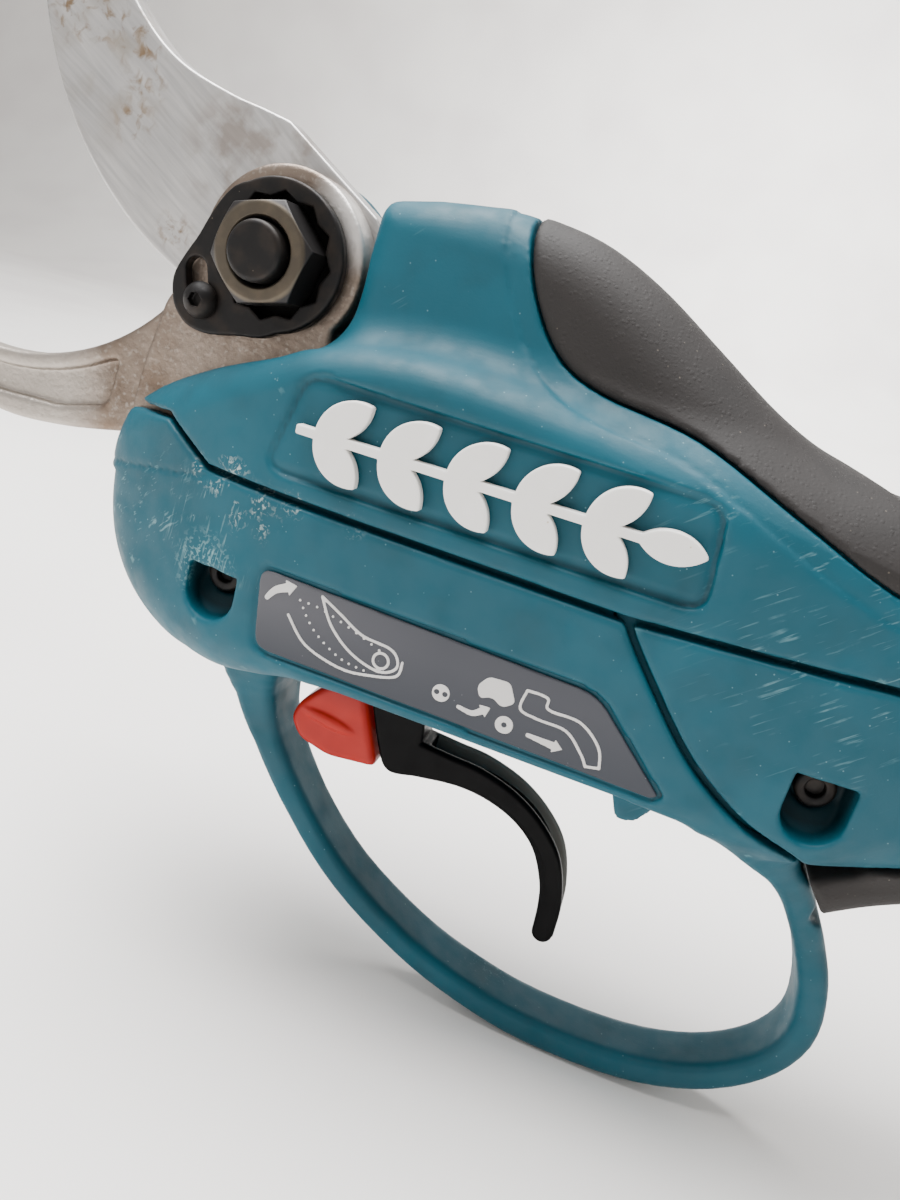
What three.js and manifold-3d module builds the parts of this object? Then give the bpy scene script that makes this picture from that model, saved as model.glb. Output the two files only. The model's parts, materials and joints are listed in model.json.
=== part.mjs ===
// Battery electric pruner, in millimetres.
// X runs from the blade tips (-X) to the cord end of the handle (+X), Y from the left side (-Y) to the
// right side (+Y), and Z upwards. The trigger guard hangs below. Everything is laid out from the blade
// pivot, whose axis is the Y axis through X = 0, Z = 0. The last lines move the origin to the middle.
import * as THREE from "three";
import { mergeVertices } from "three/addons/utils/BufferGeometryUtils.js";
import Module from "manifold-3d";

const wasm = await Module();
wasm.setup();

// ---------------------------------------------------------------- driving dimensions
const GAP = 0.3; // running gap between neighbouring pieces
const SEAM = 0.6; // visible gap between the outer shells
const WALL = 3.4; // shell wall, grip included
const GRIP_DEPTH = 1.7; // how deep a rubber grip is let into the shell
const SIDE_Y = 25; // half the width over the flat sides
const FAR = 60; // a reach past every solid, for cutting tools

// Layers along the pivot, from the left end of the bolt to its head on the right.
const BOLT_END_Y = -20.6;
const NUT_OUTER_Y = -18.9;
const PLATE_OUTER_Y = -14.4;
const BOSS_OUTER_Y = -12;
const BLADE_OUTER_Y = -6.3;
const BLADE_INNER_Y = -2.3;
const COVER_INNER_Y = 12.4;
const BOLT_R = 4; // M8 pivot bolt
const BOSS_R = 12;
const BLADE_HUB_R = 13.6; // the upper blade round the pivot
const HUB_R = 7; // hub with two flats that keys the upper blade to its gear
const HEAD_CUT_R = 14.6; // opening of the shells around the pivot

// Cutting edges. Each one is a single arc, given by its centre and radius.
const UPPER_EDGE = { x: 0.9, z: 39.8, r: 49.8 };
const LOWER_EDGE = { x: -45.7, z: 13, r: 37.3 };
const CLOSE_DEG = 62; // turn of the upper blade from open to fully closed

// Drive line: a straight axis from the pivot down into the handle.
const DRIVE_Y = 3.2;
const DRIVE_TILT_DEG = 16;
const BEVEL_PINION = { teeth: 12, pitchR: 3.5 };
const BEVEL_GEAR = { teeth: 36, pitchR: 10.5 };
const BEVEL_INNER = 0.7; // inner end of the bevel teeth, as a share of the cone distance
const MODULE = 0.42;
const SUN_TEETH = 12;
const PLANET_TEETH = 18;
const RING_TEETH = 48;
const PLANETS = 3;
const PLANET_ORBIT = (MODULE * (SUN_TEETH + PLANET_TEETH)) / 2;

// Controls.
const TRIGGER_PIVOT = { x: 31, z: -49 };
const LEVER_PIVOT = { x: 31, z: -58 };
const TRIGGER_HALF = 3.6;
const LEVER_HALF = 4.6;
const TONGUE_HALF = 1.7; // the lever's tongue, inside the trigger
const FLOOR_Z = -56; // underside of the body
const PANEL_DEPTH = 0.8; // recess behind the emblem and the label

// ---------------------------------------------------------------- finishes
const finishes = {
  teal: { color: 0x1f6f80, roughness: 0.55, metalness: 0 },
  tealDark: { color: 0x1a5f6e, roughness: 0.6, metalness: 0 },
  rubber: { color: 0x2a2524, roughness: 0.85, metalness: 0 },
  white: { color: 0xe9e7e2, roughness: 0.4, metalness: 0 },
  label: { color: 0x4a4d55, roughness: 0.35, metalness: 0 },
  red: { color: 0xd8412f, roughness: 0.4, metalness: 0 },
  black: { color: 0x121214, roughness: 0.25, metalness: 0 },
  steel: { color: 0xb9b8b4, roughness: 0.35, metalness: 1 },
  cast: { color: 0x9a8f85, roughness: 0.55, metalness: 1 },
  oxide: { color: 0x2b2a2a, roughness: 0.45, metalness: 0.8 },
  bronze: { color: 0xb08d4f, roughness: 0.4, metalness: 1 },
  alloy: { color: 0x8d9196, roughness: 0.5, metalness: 1 },
  board: { color: 0x1d5c3a, roughness: 0.5, metalness: 0 },
};

// ---------------------------------------------------------------- solids from geometry
function toSolid(geometry) {
  const bare = geometry.index ? geometry.toNonIndexed() : geometry.clone();
  bare.deleteAttribute("normal");
  bare.deleteAttribute("uv");
  const merged = mergeVertices(bare, 1e-4);
  const at = merged.attributes.position;
  const triVerts = new Uint32Array(merged.index.array);
  const [a, b, c] = [new THREE.Vector3(), new THREE.Vector3(), new THREE.Vector3()];
  let volume = 0;
  for (let i = 0; i < triVerts.length; i += 3) {
    a.fromBufferAttribute(at, triVerts[i]);
    b.fromBufferAttribute(at, triVerts[i + 1]);
    c.fromBufferAttribute(at, triVerts[i + 2]);
    volume += a.dot(b.cross(c));
  }
  if (volume < 0) {
    for (let i = 0; i < triVerts.length; i += 3) {
      [triVerts[i + 1], triVerts[i + 2]] = [triVerts[i + 2], triVerts[i + 1]];
    }
  }
  const kept = [];
  for (let i = 0; i < triVerts.length; i += 3) {
    const [p, q, r] = triVerts.subarray(i, i + 3);
    if (p !== q && q !== r && r !== p) kept.push(p, q, r);
  }
  const mesh = new wasm.Mesh({ numProp: 3, vertProperties: at.array, triVerts: new Uint32Array(kept) });
  return new wasm.Manifold(mesh);
}

const join = (...solids) => solids.reduce((all, one) => all.add(one));
const cut = (base, ...tools) => tools.reduce((left, tool) => left.subtract(tool), base);
const keep = (...solids) => solids.reduce((all, one) => all.intersect(one));

function toGeometry(solid) {
  const mesh = solid.getMesh();
  const geometry = new THREE.BufferGeometry();
  geometry.setAttribute("position", new THREE.BufferAttribute(mesh.vertProperties.slice(), 3));
  geometry.setIndex(new THREE.BufferAttribute(mesh.triVerts.slice(), 1));
  const shaded = geometry.toNonIndexed();
  shaded.computeVertexNormals();
  return shaded;
}

function part(name, solid, finish) {
  const mesh = new THREE.Mesh(toGeometry(solid), new THREE.MeshStandardMaterial(finishes[finish]));
  mesh.name = name;
  return mesh;
}

// ---------------------------------------------------------------- shapes
// A plate: an outline in X and Z, extruded from nearY to farY, with edges rounded by `round`.
function plate(outline, nearY, farY, round = 0, curveSegments = 8) {
  const geometry = new THREE.ExtrudeGeometry(outline, {
    depth: farY - nearY - 2 * round,
    bevelEnabled: round > 0,
    bevelThickness: round,
    bevelSize: round,
    bevelOffset: -round,
    bevelSegments: 2,
    curveSegments,
  });
  geometry.rotateX(Math.PI / 2);
  geometry.translate(0, farY - round, 0);
  return toSolid(geometry);
}

// A straight-sided outline through the points given as [x, z].
const polygon = (points) => new THREE.Shape(points.map(([x, z]) => new THREE.Vector2(x, z)));

// Points of a smooth open curve through the points given as [x, z].
function smooth(points, steps) {
  const curve = new THREE.SplineCurve(points.map(([x, z]) => new THREE.Vector2(x, z)));
  return curve.getPoints(steps).map((p) => [p.x, p.y]);
}

// Points of an arc about (x, z), from one angle to another in degrees, measured from +X towards +Z.
function arc(x, z, r, fromDeg, toDeg, steps) {
  const points = [];
  for (let i = 0; i <= steps; i++) {
    const a = THREE.MathUtils.degToRad(fromDeg + ((toDeg - fromDeg) * i) / steps);
    points.push([x + r * Math.cos(a), z + r * Math.sin(a)]);
  }
  return points;
}

function disc(x, z, r, nearY, farY, sides = 24) {
  const geometry = new THREE.CylinderGeometry(r, r, farY - nearY, sides);
  geometry.translate(x, (nearY + farY) / 2, z);
  return toSolid(geometry);
}

function block(x0, x1, y0, y1, z0, z1) {
  const geometry = new THREE.BoxGeometry(x1 - x0, y1 - y0, z1 - z0);
  geometry.translate((x0 + x1) / 2, (y0 + y1) / 2, (z0 + z1) / 2);
  return toSolid(geometry);
}

// A turned piece about the X axis. The profile is a list of [radius, x] that closes on the axis.
function turned(profile, sides = 24) {
  const geometry = new THREE.LatheGeometry(
    profile.map(([r, x]) => new THREE.Vector2(r, x)),
    sides,
  );
  geometry.rotateZ(-Math.PI / 2);
  return toSolid(geometry);
}

const shaftX = (r, x0, x1, sides = 20) =>
  turned(
    [
      [0, x0],
      [r, x0],
      [r, x1],
      [0, x1],
    ],
    sides,
  );

const tubeX = (inner, outer, x0, x1, sides = 28) =>
  cut(shaftX(outer, x0, x1, sides), shaftX(inner, x0 - 1, x1 + 1, sides));

// A loft through rings of equal length, closed by a fan at each end.
function loft(rings) {
  const count = rings[0].length;
  const positions = rings.flat().flatMap((p) => [p.x, p.y, p.z]);
  const index = [];
  for (let i = 0; i < rings.length - 1; i++) {
    for (let j = 0; j < count; j++) {
      const a = i * count + j;
      const b = i * count + ((j + 1) % count);
      index.push(a, b, a + count, b, b + count, a + count);
    }
  }
  for (const [ring, flip] of [
    [0, true],
    [rings.length - 1, false],
  ]) {
    const middle = positions.length / 3;
    const centre = new THREE.Vector3();
    for (const p of rings[ring]) centre.addScaledVector(p, 1 / count);
    positions.push(centre.x, centre.y, centre.z);
    for (let j = 0; j < count; j++) {
      const a = ring * count + j;
      const b = ring * count + ((j + 1) % count);
      index.push(...(flip ? [b, a, middle] : [a, b, middle]));
    }
  }
  const geometry = new THREE.BufferGeometry();
  geometry.setAttribute("position", new THREE.Float32BufferAttribute(positions, 3));
  geometry.setIndex(index);
  return toSolid(geometry);
}

// A tube of `sides` sides along a smooth path through [x, y, z] points.
function wire(points, r, steps, sides = 8) {
  const path = new THREE.CatmullRomCurve3(points.map((p) => new THREE.Vector3(...p)));
  const section = new THREE.Shape(arc(0, 0, r, 0, 360, sides).slice(1).map((p) => new THREE.Vector2(...p)));
  return toSolid(new THREE.ExtrudeGeometry(section, { extrudePath: path, steps }));
}

// ---------------------------------------------------------------- body outer form
// Each station is [x, half width, low, high, low corner radius, high corner radius].
const BODY_STATIONS = [
  [-25.5, 4, -42, -31.5, 3.8, 3.8],
  [-24, 8.5, -46, -28.5, 8, 8],
  [-21, 12.5, -50, -26, 11, 10],
  [-16, 16.5, -54, -23.5, 13, 10],
  [-8, 20, -57.5, -19, 14, 9],
  [2, 22.8, -59.5, -13.5, 12, 7],
  [12, 24.3, -58.5, -9, 8, 5],
  [22, SIDE_Y, FLOOR_Z, -7.5, 5, 4.5],
  [45, SIDE_Y, FLOOR_Z, -7.5, 4, 4.5],
  [62, SIDE_Y, FLOOR_Z, -9, 4, 7],
  [78, SIDE_Y - 0.2, FLOOR_Z, -9, 5, 11],
  [90, 24, FLOOR_Z, -8, 8, 14],
  [100, 22.8, -54.8, -8.2, 12, 15],
  [115, 21.3, -52.8, -9.2, 14, 15],
  [140, 20.3, -50.8, -10, 15, 15],
  [170, 20, -51, -11.5, 15, 15],
  [200, 19.5, -52.6, -15, 15, 15],
  [220, 18.2, -52.8, -19, 15, 15],
  [227, 16.4, -51.5, -21.5, 14, 14],
  [229.5, 13.4, -48.5, -24.5, 11.5, 11.5],
];

// The narrow ridge over the gears, which carries the hump and the front of the top grip.
const RIDGE_STATIONS = [
  [6, 14, -20, 8, 3, 4],
  [10, 15, -20, 11.8, 3, 4.5],
  [14, 16, -20, 13, 3, 5],
  [22, 17, -20, 13.8, 3, 6],
  [32, 17.5, -20, 14.3, 3, 7],
  [42, 17.8, -20, 13, 3, 8],
  [52, 18.2, -20, 9.4, 3, 10],
  [62, 19, -20, 3.8, 3, 11],
  [72, 20.5, -24, -1.9, 3, 12],
  [82, 21.5, -26, -5.2, 3, 14],
  [92, 22, -26, -7.6, 3, 14],
  [100, 20, -26, -10, 3, 14],
];

// A rounded rectangle across the tool, drawn inwards by `inset`.
function bodyRing([x, halfWidth, low, high, lowRound, highRound], inset) {
  const w = halfWidth - inset;
  const [z0, z1] = [low + inset, high - inset];
  const most = Math.min(w, (z1 - z0) / 2) - 0.05;
  const r0 = Math.min(Math.max(lowRound - inset, 0.4), most);
  const r1 = Math.min(Math.max(highRound - inset, 0.4), most);
  const corners = [
    arc(w - r0, z0 + r0, r0, -90, 0, 3),
    arc(w - r1, z1 - r1, r1, 0, 90, 3),
    arc(-w + r1, z1 - r1, r1, 90, 180, 3),
    arc(-w + r0, z0 + r0, r0, 180, 270, 3),
  ];
  return corners.flat().map(([y, z]) => new THREE.Vector3(x, y, z));
}

// The outer form, or the form `inset` inside it, with its two ends drawn in as well.
function bodyForm(inset) {
  const rings = (stations) =>
    stations
      .filter((s) => s[1] - inset > 0.6)
      .map((s, i, all) => {
        const ends = (i === 0 ? 1 : 0) - (i === all.length - 1 ? 1 : 0);
        return bodyRing([s[0] + ends * inset, ...s.slice(1)], inset);
      });
  return join(loft(rings(BODY_STATIONS)), loft(rings(RIDGE_STATIONS)));
}

// ---------------------------------------------------------------- seams
// Upper shells above, guard shell below: level over the nose, a short step down, then along the side.
const UPPER_SEAM = [
  [-FAR, -23.8],
  [-6.5, -23.9],
  [-0.4, -28.6],
  [61, -30],
  [94, -28.2],
  [140, -29.5],
  [300, -40],
];
// Guard shell in front, lower handle shells behind.
const REAR_SEAM = smooth(
  [
    [60, -26],
    [61.4, -30.6],
    [67.4, -37.8],
    [74.9, -45.6],
    [83.1, -51],
    [90.6, -53.8],
    [94.4, -57.4],
    [101, -66.6],
  ],
  16,
);
const SEAM_END_Z = -66.6;
const half = SEAM / 2;
const shifted = (points, dx, dz) => points.map(([x, z]) => [x + dx, z + dz]);
const slab = (points) => plate(polygon(points), -FAR, FAR);

const upperZone = () => slab([...shifted(UPPER_SEAM, 0, half), [300, FAR], [-FAR, FAR]]);
const underSeam = () => slab([...shifted(UPPER_SEAM, 0, -half), [300, -2 * FAR], [-FAR, -2 * FAR]]);
const frontOfRearSeam = () =>
  slab([[-FAR, 0], ...shifted(REAR_SEAM, -half * 1.3, -half * 0.8), [101, -3 * FAR], [-FAR, -3 * FAR]]);
const behindRearSeam = () =>
  slab([[300, 0], ...shifted(REAR_SEAM, half * 1.3, half * 0.8), [101, -3 * FAR], [300, -3 * FAR]]);

// Outline of each rubber grip seen from the side, shrunk by `gap` at its edges.
const topGripZone = (gap) => {
  const front = smooth(
    [
      [33, 20],
      [34.4, 11],
      [37.6, 3.2],
      [42.5, -2.8],
      [49.2, -5.3],
      [62.5, -7.2],
      [76.8, -12.8],
      [91, -18],
      [112, -22],
      [150, -23.5],
      [222, -32],
    ],
    26,
  );
  const rear = 223 - gap;
  return slab([...shifted(front.slice(0, -1), gap, gap), [rear, -32 + gap], [rear, 30], [33 + gap, 30]]);
};
const lowerGripZone = (gap) =>
  slab([
    ...shifted([[92.8, -54.4], [103, -50.6], [130, -45.4], [200, -44.5]], gap, -gap),
    [221 - gap, -46 - gap],
    [221 - gap, -80],
    [120, -80],
    [93.4 + gap, -80],
  ]);

// The finger stop under the front of the lower grip.
const gripHeel = (inset) =>
  loft(
    [
      [93.6, 13, -57, -50],
      [97.8, 16, -61.8, -50],
      [100.4, 16.5, -61.6, -49],
      [106.6, 16.5, -57.4, -47],
      [113, 15.5, -54.4, -46],
      [120, 14, -52.4, -44],
    ].map(([x, w, low, high]) => bodyRing([x, w, low, high, 4, 4], inset)),
  );

// ---------------------------------------------------------------- blades
// The upper blade seen from the left, open: cutting edge, tip, back, then round the pivot.
function upperBladeOutline() {
  const edge = arc(UPPER_EDGE.x, UPPER_EDGE.z, UPPER_EDGE.r, 247, 161, 12);
  const back = smooth(
    [
      [-44.6, 53],
      [-40.4, 42.5],
      [-34.5, 31.5],
      [-29, 25.6],
      [-23, 22],
      [-15, 19.8],
      [-9.9, 19],
      [-5.4, 18.2],
    ],
    14,
  );
  return polygon([...edge, ...back, ...arc(0, 0, BLADE_HUB_R, 40, -112, 12)]);
}

// The hook-shaped lower blade with its boss and the root that is bolted into the nose.
const lowerBladeTip = [-68, -16.6];
function lowerBladeOutline() {
  const hook = arc(LOWER_EDGE.x, LOWER_EDGE.z, LOWER_EDGE.r, 238, 318, 12);
  const under = smooth(
    [[-20, -31], [-31.5, -33.4], [-43, -34.2], [-54, -31.6], [-63, -25], lowerBladeTip],
    12,
  );
  const root = [[12, -30], [6.4, -39.4], [-8, -41]];
  return polygon([...hook, [-15.4, -8.2], ...arc(0, 0, BOSS_R + 0.4, 200, -38, 18), ...root, ...under]);
}

function upperBlade() {
  const body = plate(upperBladeOutline(), BLADE_OUTER_Y, BLADE_INNER_Y);
  // The left face is ground back towards the cutting edge.
  const grind = cut(
    plate(
      polygon([...arc(UPPER_EDGE.x, UPPER_EDGE.z, UPPER_EDGE.r + 2, 234, 158, 14), [-60, 62], [-60, -12]]),
      BLADE_OUTER_Y - 1, BLADE_INNER_Y - 0.9),
    loft([
      arc(UPPER_EDGE.x, UPPER_EDGE.z, UPPER_EDGE.r - 6, 0, 350, 35).map(([x, z]) =>
        new THREE.Vector3(x, BLADE_OUTER_Y, z)),
      arc(UPPER_EDGE.x, UPPER_EDGE.z, UPPER_EDGE.r - 0.4, 0, 350, 35).map(([x, z]) =>
        new THREE.Vector3(x, BLADE_INNER_Y - 0.6, z)),
    ]),
  );
  return cut(body, grind, hubForm(GAP));
}

// The hub of the blade gear: a round with two flats, grown by `gap` for the hole that takes it.
const hubForm = (gap) =>
  keep(
    disc(0, 0, HUB_R + gap, BLADE_OUTER_Y - 1, BLADE_INNER_Y + 1, 28),
    block(-FAR, FAR, -FAR, FAR, -5.6 - gap, 5.6 + gap),
  );

const LOWER_SCREWS = [
  [-6, -34],
  [4, -24.5],
];

function lowerBlade() {
  // The lobe takes the screw of the lock plate, and backs the plate's slot.
  const lobe = disc(-11, -5.6, 3.2, BOSS_OUTER_Y, BLADE_OUTER_Y - GAP, 20);
  const root = join(plate(lowerBladeOutline(), BOSS_OUTER_Y, BLADE_OUTER_Y - GAP), lobe);
  const hook = polygon([[-90, -50], [-20, -50], [-19.5, -30], [-16.5, -9], [-17, 0], [-90, 10]]);
  // Beyond the boss the cast blade is thinner, with a hollow between its rims.
  const thinner = plate(hook, BOSS_OUTER_Y - 1, BOSS_OUTER_Y + 1.4);
  const hollow = plate(
    polygon([
      [-23.8, -20.4],
      ...arc(LOWER_EDGE.x, LOWER_EDGE.z, LOWER_EDGE.r + 2.4, 300, 250, 6),
      [-57, -27.4],
      [-45, -31.2],
      [-33, -30.8],
      [-24.2, -28.6],
    ]),
    BOSS_OUTER_Y,
    BOSS_OUTER_Y + 2.6,
  );
  const holes = LOWER_SCREWS.map(([x, z]) => disc(x, z, 2.3, -FAR, FAR, 16));
  return cut(root, thinner, hollow, disc(0, 0, BOLT_R + 0.3, -FAR, FAR, 28), lockScrewHole(), ...holes);
}

// ---------------------------------------------------------------- pivot hardware
const LOCK_SCREW = { x: -9.3, z: -8.4 };
const lockScrewHole = () => disc(LOCK_SCREW.x, LOCK_SCREW.z, 1.6, BOSS_OUTER_Y - 1, BOSS_OUTER_Y + 4.4, 12);

const BOLT_CHAMFER = 0.7;

const circleY = (r, y, sides) =>
  arc(0, 0, r, 0, 360 - 360 / sides, sides - 1).map(([x, z]) => new THREE.Vector3(x, y, z));

function pivotBolt() {
  const shankStart = BOLT_END_Y + BOLT_CHAMFER;
  return join(
    disc(0, 0, BOLT_R, shankStart, COVER_INNER_Y - 2, 28),
    loft([circleY(BOLT_R - BOLT_CHAMFER, BOLT_END_Y, 28), circleY(BOLT_R, shankStart, 28)]),
    disc(0, 0, 7, COVER_INNER_Y - 4.4, COVER_INNER_Y - GAP, 6),
  );
}

// A hexagon nut, 13 mm across flats, with chamfered corners on its outer face.
function pivotNut() {
  const hex = disc(0, 0, 6.5 / Math.cos(Math.PI / 6), NUT_OUTER_Y, BOSS_OUTER_Y - GAP, 6);
  const chamfer = join(
    loft([circleY(6.1, NUT_OUTER_Y, 32), circleY(8.6, NUT_OUTER_Y + 1.4, 32)]),
    disc(0, 0, 8.6, NUT_OUTER_Y + 1.4, BOSS_OUTER_Y, 32),
  );
  return cut(keep(hex, chamfer), disc(0, 0, BOLT_R + GAP, -FAR, FAR, 28));
}

// The plate that stops the nut from turning: a ring with a twelve-point hole, and a slotted ear.
function lockPlate() {
  const ear = [
    [-12.6, -3.6],
    [-14.2, -6.4],
    [-13.6, -9.6],
    [-11.4, -12],
    [-8.6, -12.6],
    [-3, -10.2],
    [-3, 2],
    [-8, 6.6],
  ];
  const star = [];
  for (let i = 0; i < 24; i++) {
    const r = i % 2 ? 7.85 : 8.7;
    star.push(arc(0, 0, r, i * 15, i * 15, 1)[0]);
  }
  return cut(
    join(disc(0, 0, 10.3, PLATE_OUTER_Y, BOSS_OUTER_Y - GAP, 36), plate(polygon(ear), PLATE_OUTER_Y,
      BOSS_OUTER_Y - GAP)),
    plate(polygon(star), -FAR, FAR),
    plate(
      polygon([...arc(LOCK_SCREW.x, LOCK_SCREW.z, 1.7, 180, 360, 6), ...arc(-10.9, -5.4, 1.5, 0, 180, 6)]),
      -FAR, FAR),
  );
}

function lockScrew() {
  const { x, z } = LOCK_SCREW;
  const dome = new THREE.SphereGeometry(2.5, 16, 10);
  dome.scale(1, 0.8, 1);
  dome.translate(x, PLATE_OUTER_Y - GAP, z);
  const head = keep(toSolid(dome), block(-FAR, 0, -FAR, PLATE_OUTER_Y - GAP, -FAR, 0));
  return cut(join(head, disc(x, z, 1.3, PLATE_OUTER_Y - 1, BOSS_OUTER_Y + 4, 14)),
    disc(x, z, 0.9, -FAR, PLATE_OUTER_Y - 1, 6));
}

// ---------------------------------------------------------------- bevel pair
// A straight bevel gear with its apex at the origin and its axis along +X. Each tooth corner lies on a
// ray from the apex, so the teeth of the two gears meet along their whole length.
function bevelGear({ teeth, pitchR }, mateR, phase, hubR, backX, toothed = () => true) {
  const cone = Math.atan2(pitchR, mateR);
  const reach = Math.hypot(pitchR, mateR);
  const [tip, root] = [cone + 0.45 / reach, cone - 0.62 / reach];
  const pitch = (2 * Math.PI) / teeth;
  const corners = [
    [root, -0.36],
    [tip, -0.13],
    [tip, 0.13],
    [root, 0.36],
  ];
  const ring = (share) => {
    const points = [];
    for (let i = 0; i < teeth; i++) {
      for (const [angle, offset] of toothed(i) ? corners : [corners[0]]) {
        const turn = phase + (i + offset) * pitch;
        const r = reach * share * Math.sin(angle);
        const x = reach * share * Math.cos(angle);
        points.push(new THREE.Vector3(x, r * Math.cos(turn), r * Math.sin(turn)));
      }
    }
    return points;
  };
  const [inner, outer] = [ring(BEVEL_INNER), ring(1)];
  const back = outer.map((p) => new THREE.Vector3(backX, p.y * hubR, p.z * hubR));
  return loft([inner, outer, back]);
}

// The gear keyed to the upper blade: its axis is the pivot, and its teeth face the drive axis. It has
// teeth only over the arc that meets the pinion between open and closed.
function bladeGear() {
  const back = DRIVE_Y - (BLADE_INNER_Y + GAP);
  const inSector = (i) => i <= 1 || i >= BEVEL_GEAR.teeth - 8;
  const raw = bevelGear(BEVEL_GEAR, BEVEL_PINION.pitchR, Math.PI, 0.97, back, inSector);
  const toothed = toGeometry(raw);
  toothed.rotateZ(-Math.PI / 2);
  toothed.rotateY(THREE.MathUtils.degToRad(DRIVE_TILT_DEG));
  toothed.translate(0, DRIVE_Y, 0);
  const hub = keep(hubForm(0), block(-FAR, FAR, BLADE_OUTER_Y + 0.3, FAR, -FAR, FAR));
  return cut(join(toSolid(toothed), hub), disc(0, 0, BOLT_R + 1.4, -FAR, FAR, 28));
}

function bevelPinion() {
  const outerX = BEVEL_GEAR.pitchR;
  const half = Math.PI / BEVEL_PINION.teeth;
  const teeth = bevelGear(BEVEL_PINION, outerX, Math.PI / 2 + half, 0.9, outerX + 2.6);
  return join(teeth, shaftX(2.45, outerX + 2, 42), shaftX(3.4, outerX + 2, outerX + 3.6));
}

// ---------------------------------------------------------------- planetary gearbox
// A spur gear about the X axis. `external` is 1 for outward teeth and -1 for a ring's inward teeth.
function gearOutline(teeth, external, phase) {
  const pitchR = (MODULE * teeth) / 2;
  const [tip, root] = [pitchR + external * 0.38, pitchR - external * 0.5];
  const points = [];
  for (let i = 0; i < teeth; i++) {
    for (const [r, offset] of [
      [root, -0.36],
      [tip, -0.12],
      [tip, 0.12],
      [root, 0.36],
    ]) {
      const turn = phase + ((i + offset) * 2 * Math.PI) / teeth;
      points.push(new THREE.Vector2(r * Math.cos(turn), r * Math.sin(turn)));
    }
  }
  return points;
}

// Extrudes an outline given in (Y, Z) from x0 to x1.
function extrudeX(points, x0, x1, hole = null) {
  const shape = new THREE.Shape(points);
  if (hole) shape.holes.push(new THREE.Path(hole));
  const geometry = new THREE.ExtrudeGeometry(shape, { depth: x1 - x0, bevelEnabled: false });
  geometry.applyMatrix4(
    new THREE.Matrix4().makeBasis(
      new THREE.Vector3(0, 1, 0),
      new THREE.Vector3(0, 0, 1),
      new THREE.Vector3(1, 0, 0),
    ),
  );
  geometry.translate(x0, 0, 0);
  return toSolid(geometry);
}

const circlePoints = (r, sides) =>
  arc(0, 0, r, 0, 360 - 360 / sides, sides - 1).map(([a, b]) => new THREE.Vector2(a, b));

const GEARBOX = { start: 44, end: 54, outerR: 11.6 };

function ringGear() {
  return extrudeX(circlePoints(GEARBOX.outerR - 0.4, 32), GEARBOX.start, GEARBOX.end,
    gearOutline(RING_TEETH, -1, 0));
}

const planetAngle = (i) => (i * 2 * Math.PI) / PLANETS;

function planetGear(i) {
  const spin = planetAngle(i) + Math.PI / PLANET_TEETH;
  const gear = extrudeX(gearOutline(PLANET_TEETH, 1, spin), 46, 52.6, circlePoints(1.5, 14));
  return gear.translate(0, PLANET_ORBIT * Math.cos(planetAngle(i)), PLANET_ORBIT * Math.sin(planetAngle(i)));
}

// The carrier disc with the planets' pins, and the bore that grips the pinion shaft.
function planetCarrier() {
  const pins = [];
  for (let i = 0; i < PLANETS; i++) {
    const [y, z] = [PLANET_ORBIT * Math.cos(planetAngle(i)), PLANET_ORBIT * Math.sin(planetAngle(i))];
    pins.push(shaftX(1.2, 43, 53, 14).translate(0, y, z));
  }
  return cut(join(shaftX(9, 42.6, 45.4, 28), shaftX(4.2, 40, 43, 20), ...pins), shaftX(2.45 + GAP, 39, 42.3));
}

const sunGear = () => extrudeX(gearOutline(SUN_TEETH, 1, 0), 46, 53.4, circlePoints(1.1, 12));
const motorShaft = () => join(shaftX(0.8, 46, 55, 12), shaftX(1.6, 54.4, 116, 16), shaftX(8.6, 64, 108, 20));

const MOTOR_R = 11.5;
const motorCan = () =>
  cut(shaftX(MOTOR_R, 60.4, 113, 24), shaftX(MOTOR_R - 2, 62, 114, 24), shaftX(2.1, 55, 70, 14));
const motorCap = () =>
  cut(shaftX(MOTOR_R, 113.4, 118, 24), shaftX(2, 113, 116.6, 14), shaftX(MOTOR_R - 2, 113, 114.4, 24));
const motorPlate = () => cut(shaftX(MOTOR_R, 56, 60, 24), shaftX(2.1, 55, 61, 14), shaftX(3.6, 55, 57.4, 14));

// A ball bearing as its two rings closed by shields, one piece as it is bought.
const bearing = (x0) => tubeX(2.52, 6.5, x0, x0 + 5, 20);

function gearCase() {
  const outside = turned([
    [0, 13.8],
    [8.4, 13.8],
    [8.4, 38],
    [GEARBOX.outerR + 0.9, 41],
    [GEARBOX.outerR + 0.9, 55.6],
    [0, 55.6],
  ]);
  const inside = join(
    shaftX(5.2, 13, 60),
    shaftX(6.6, 14.6, 20),
    shaftX(6.6, 31.6, 37.2),
    turned([
      [0, 36],
      [6.6, 36],
      [10.2, 41.4],
      [GEARBOX.outerR, 43.7],
      [GEARBOX.outerR, 56],
      [0, 56],
    ]),
  );
  return cut(outside, inside);
}

// ---------------------------------------------------------------- shells
// What the blades, the boss and the lock plate need out of the left half of the shells.
function headOpening() {
  const line = [
    [-40, -34],
    [-20, -25.4],
    [-15.6, -23.4],
    [-4.8, -17.6],
    [5, -13.9],
    ...arc(0, 0, HEAD_CUT_R, -64, 30, 8),
    [16.2, 40],
    [-60, 40],
  ];
  return plate(polygon(line), -FAR, FAR);
}

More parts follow.
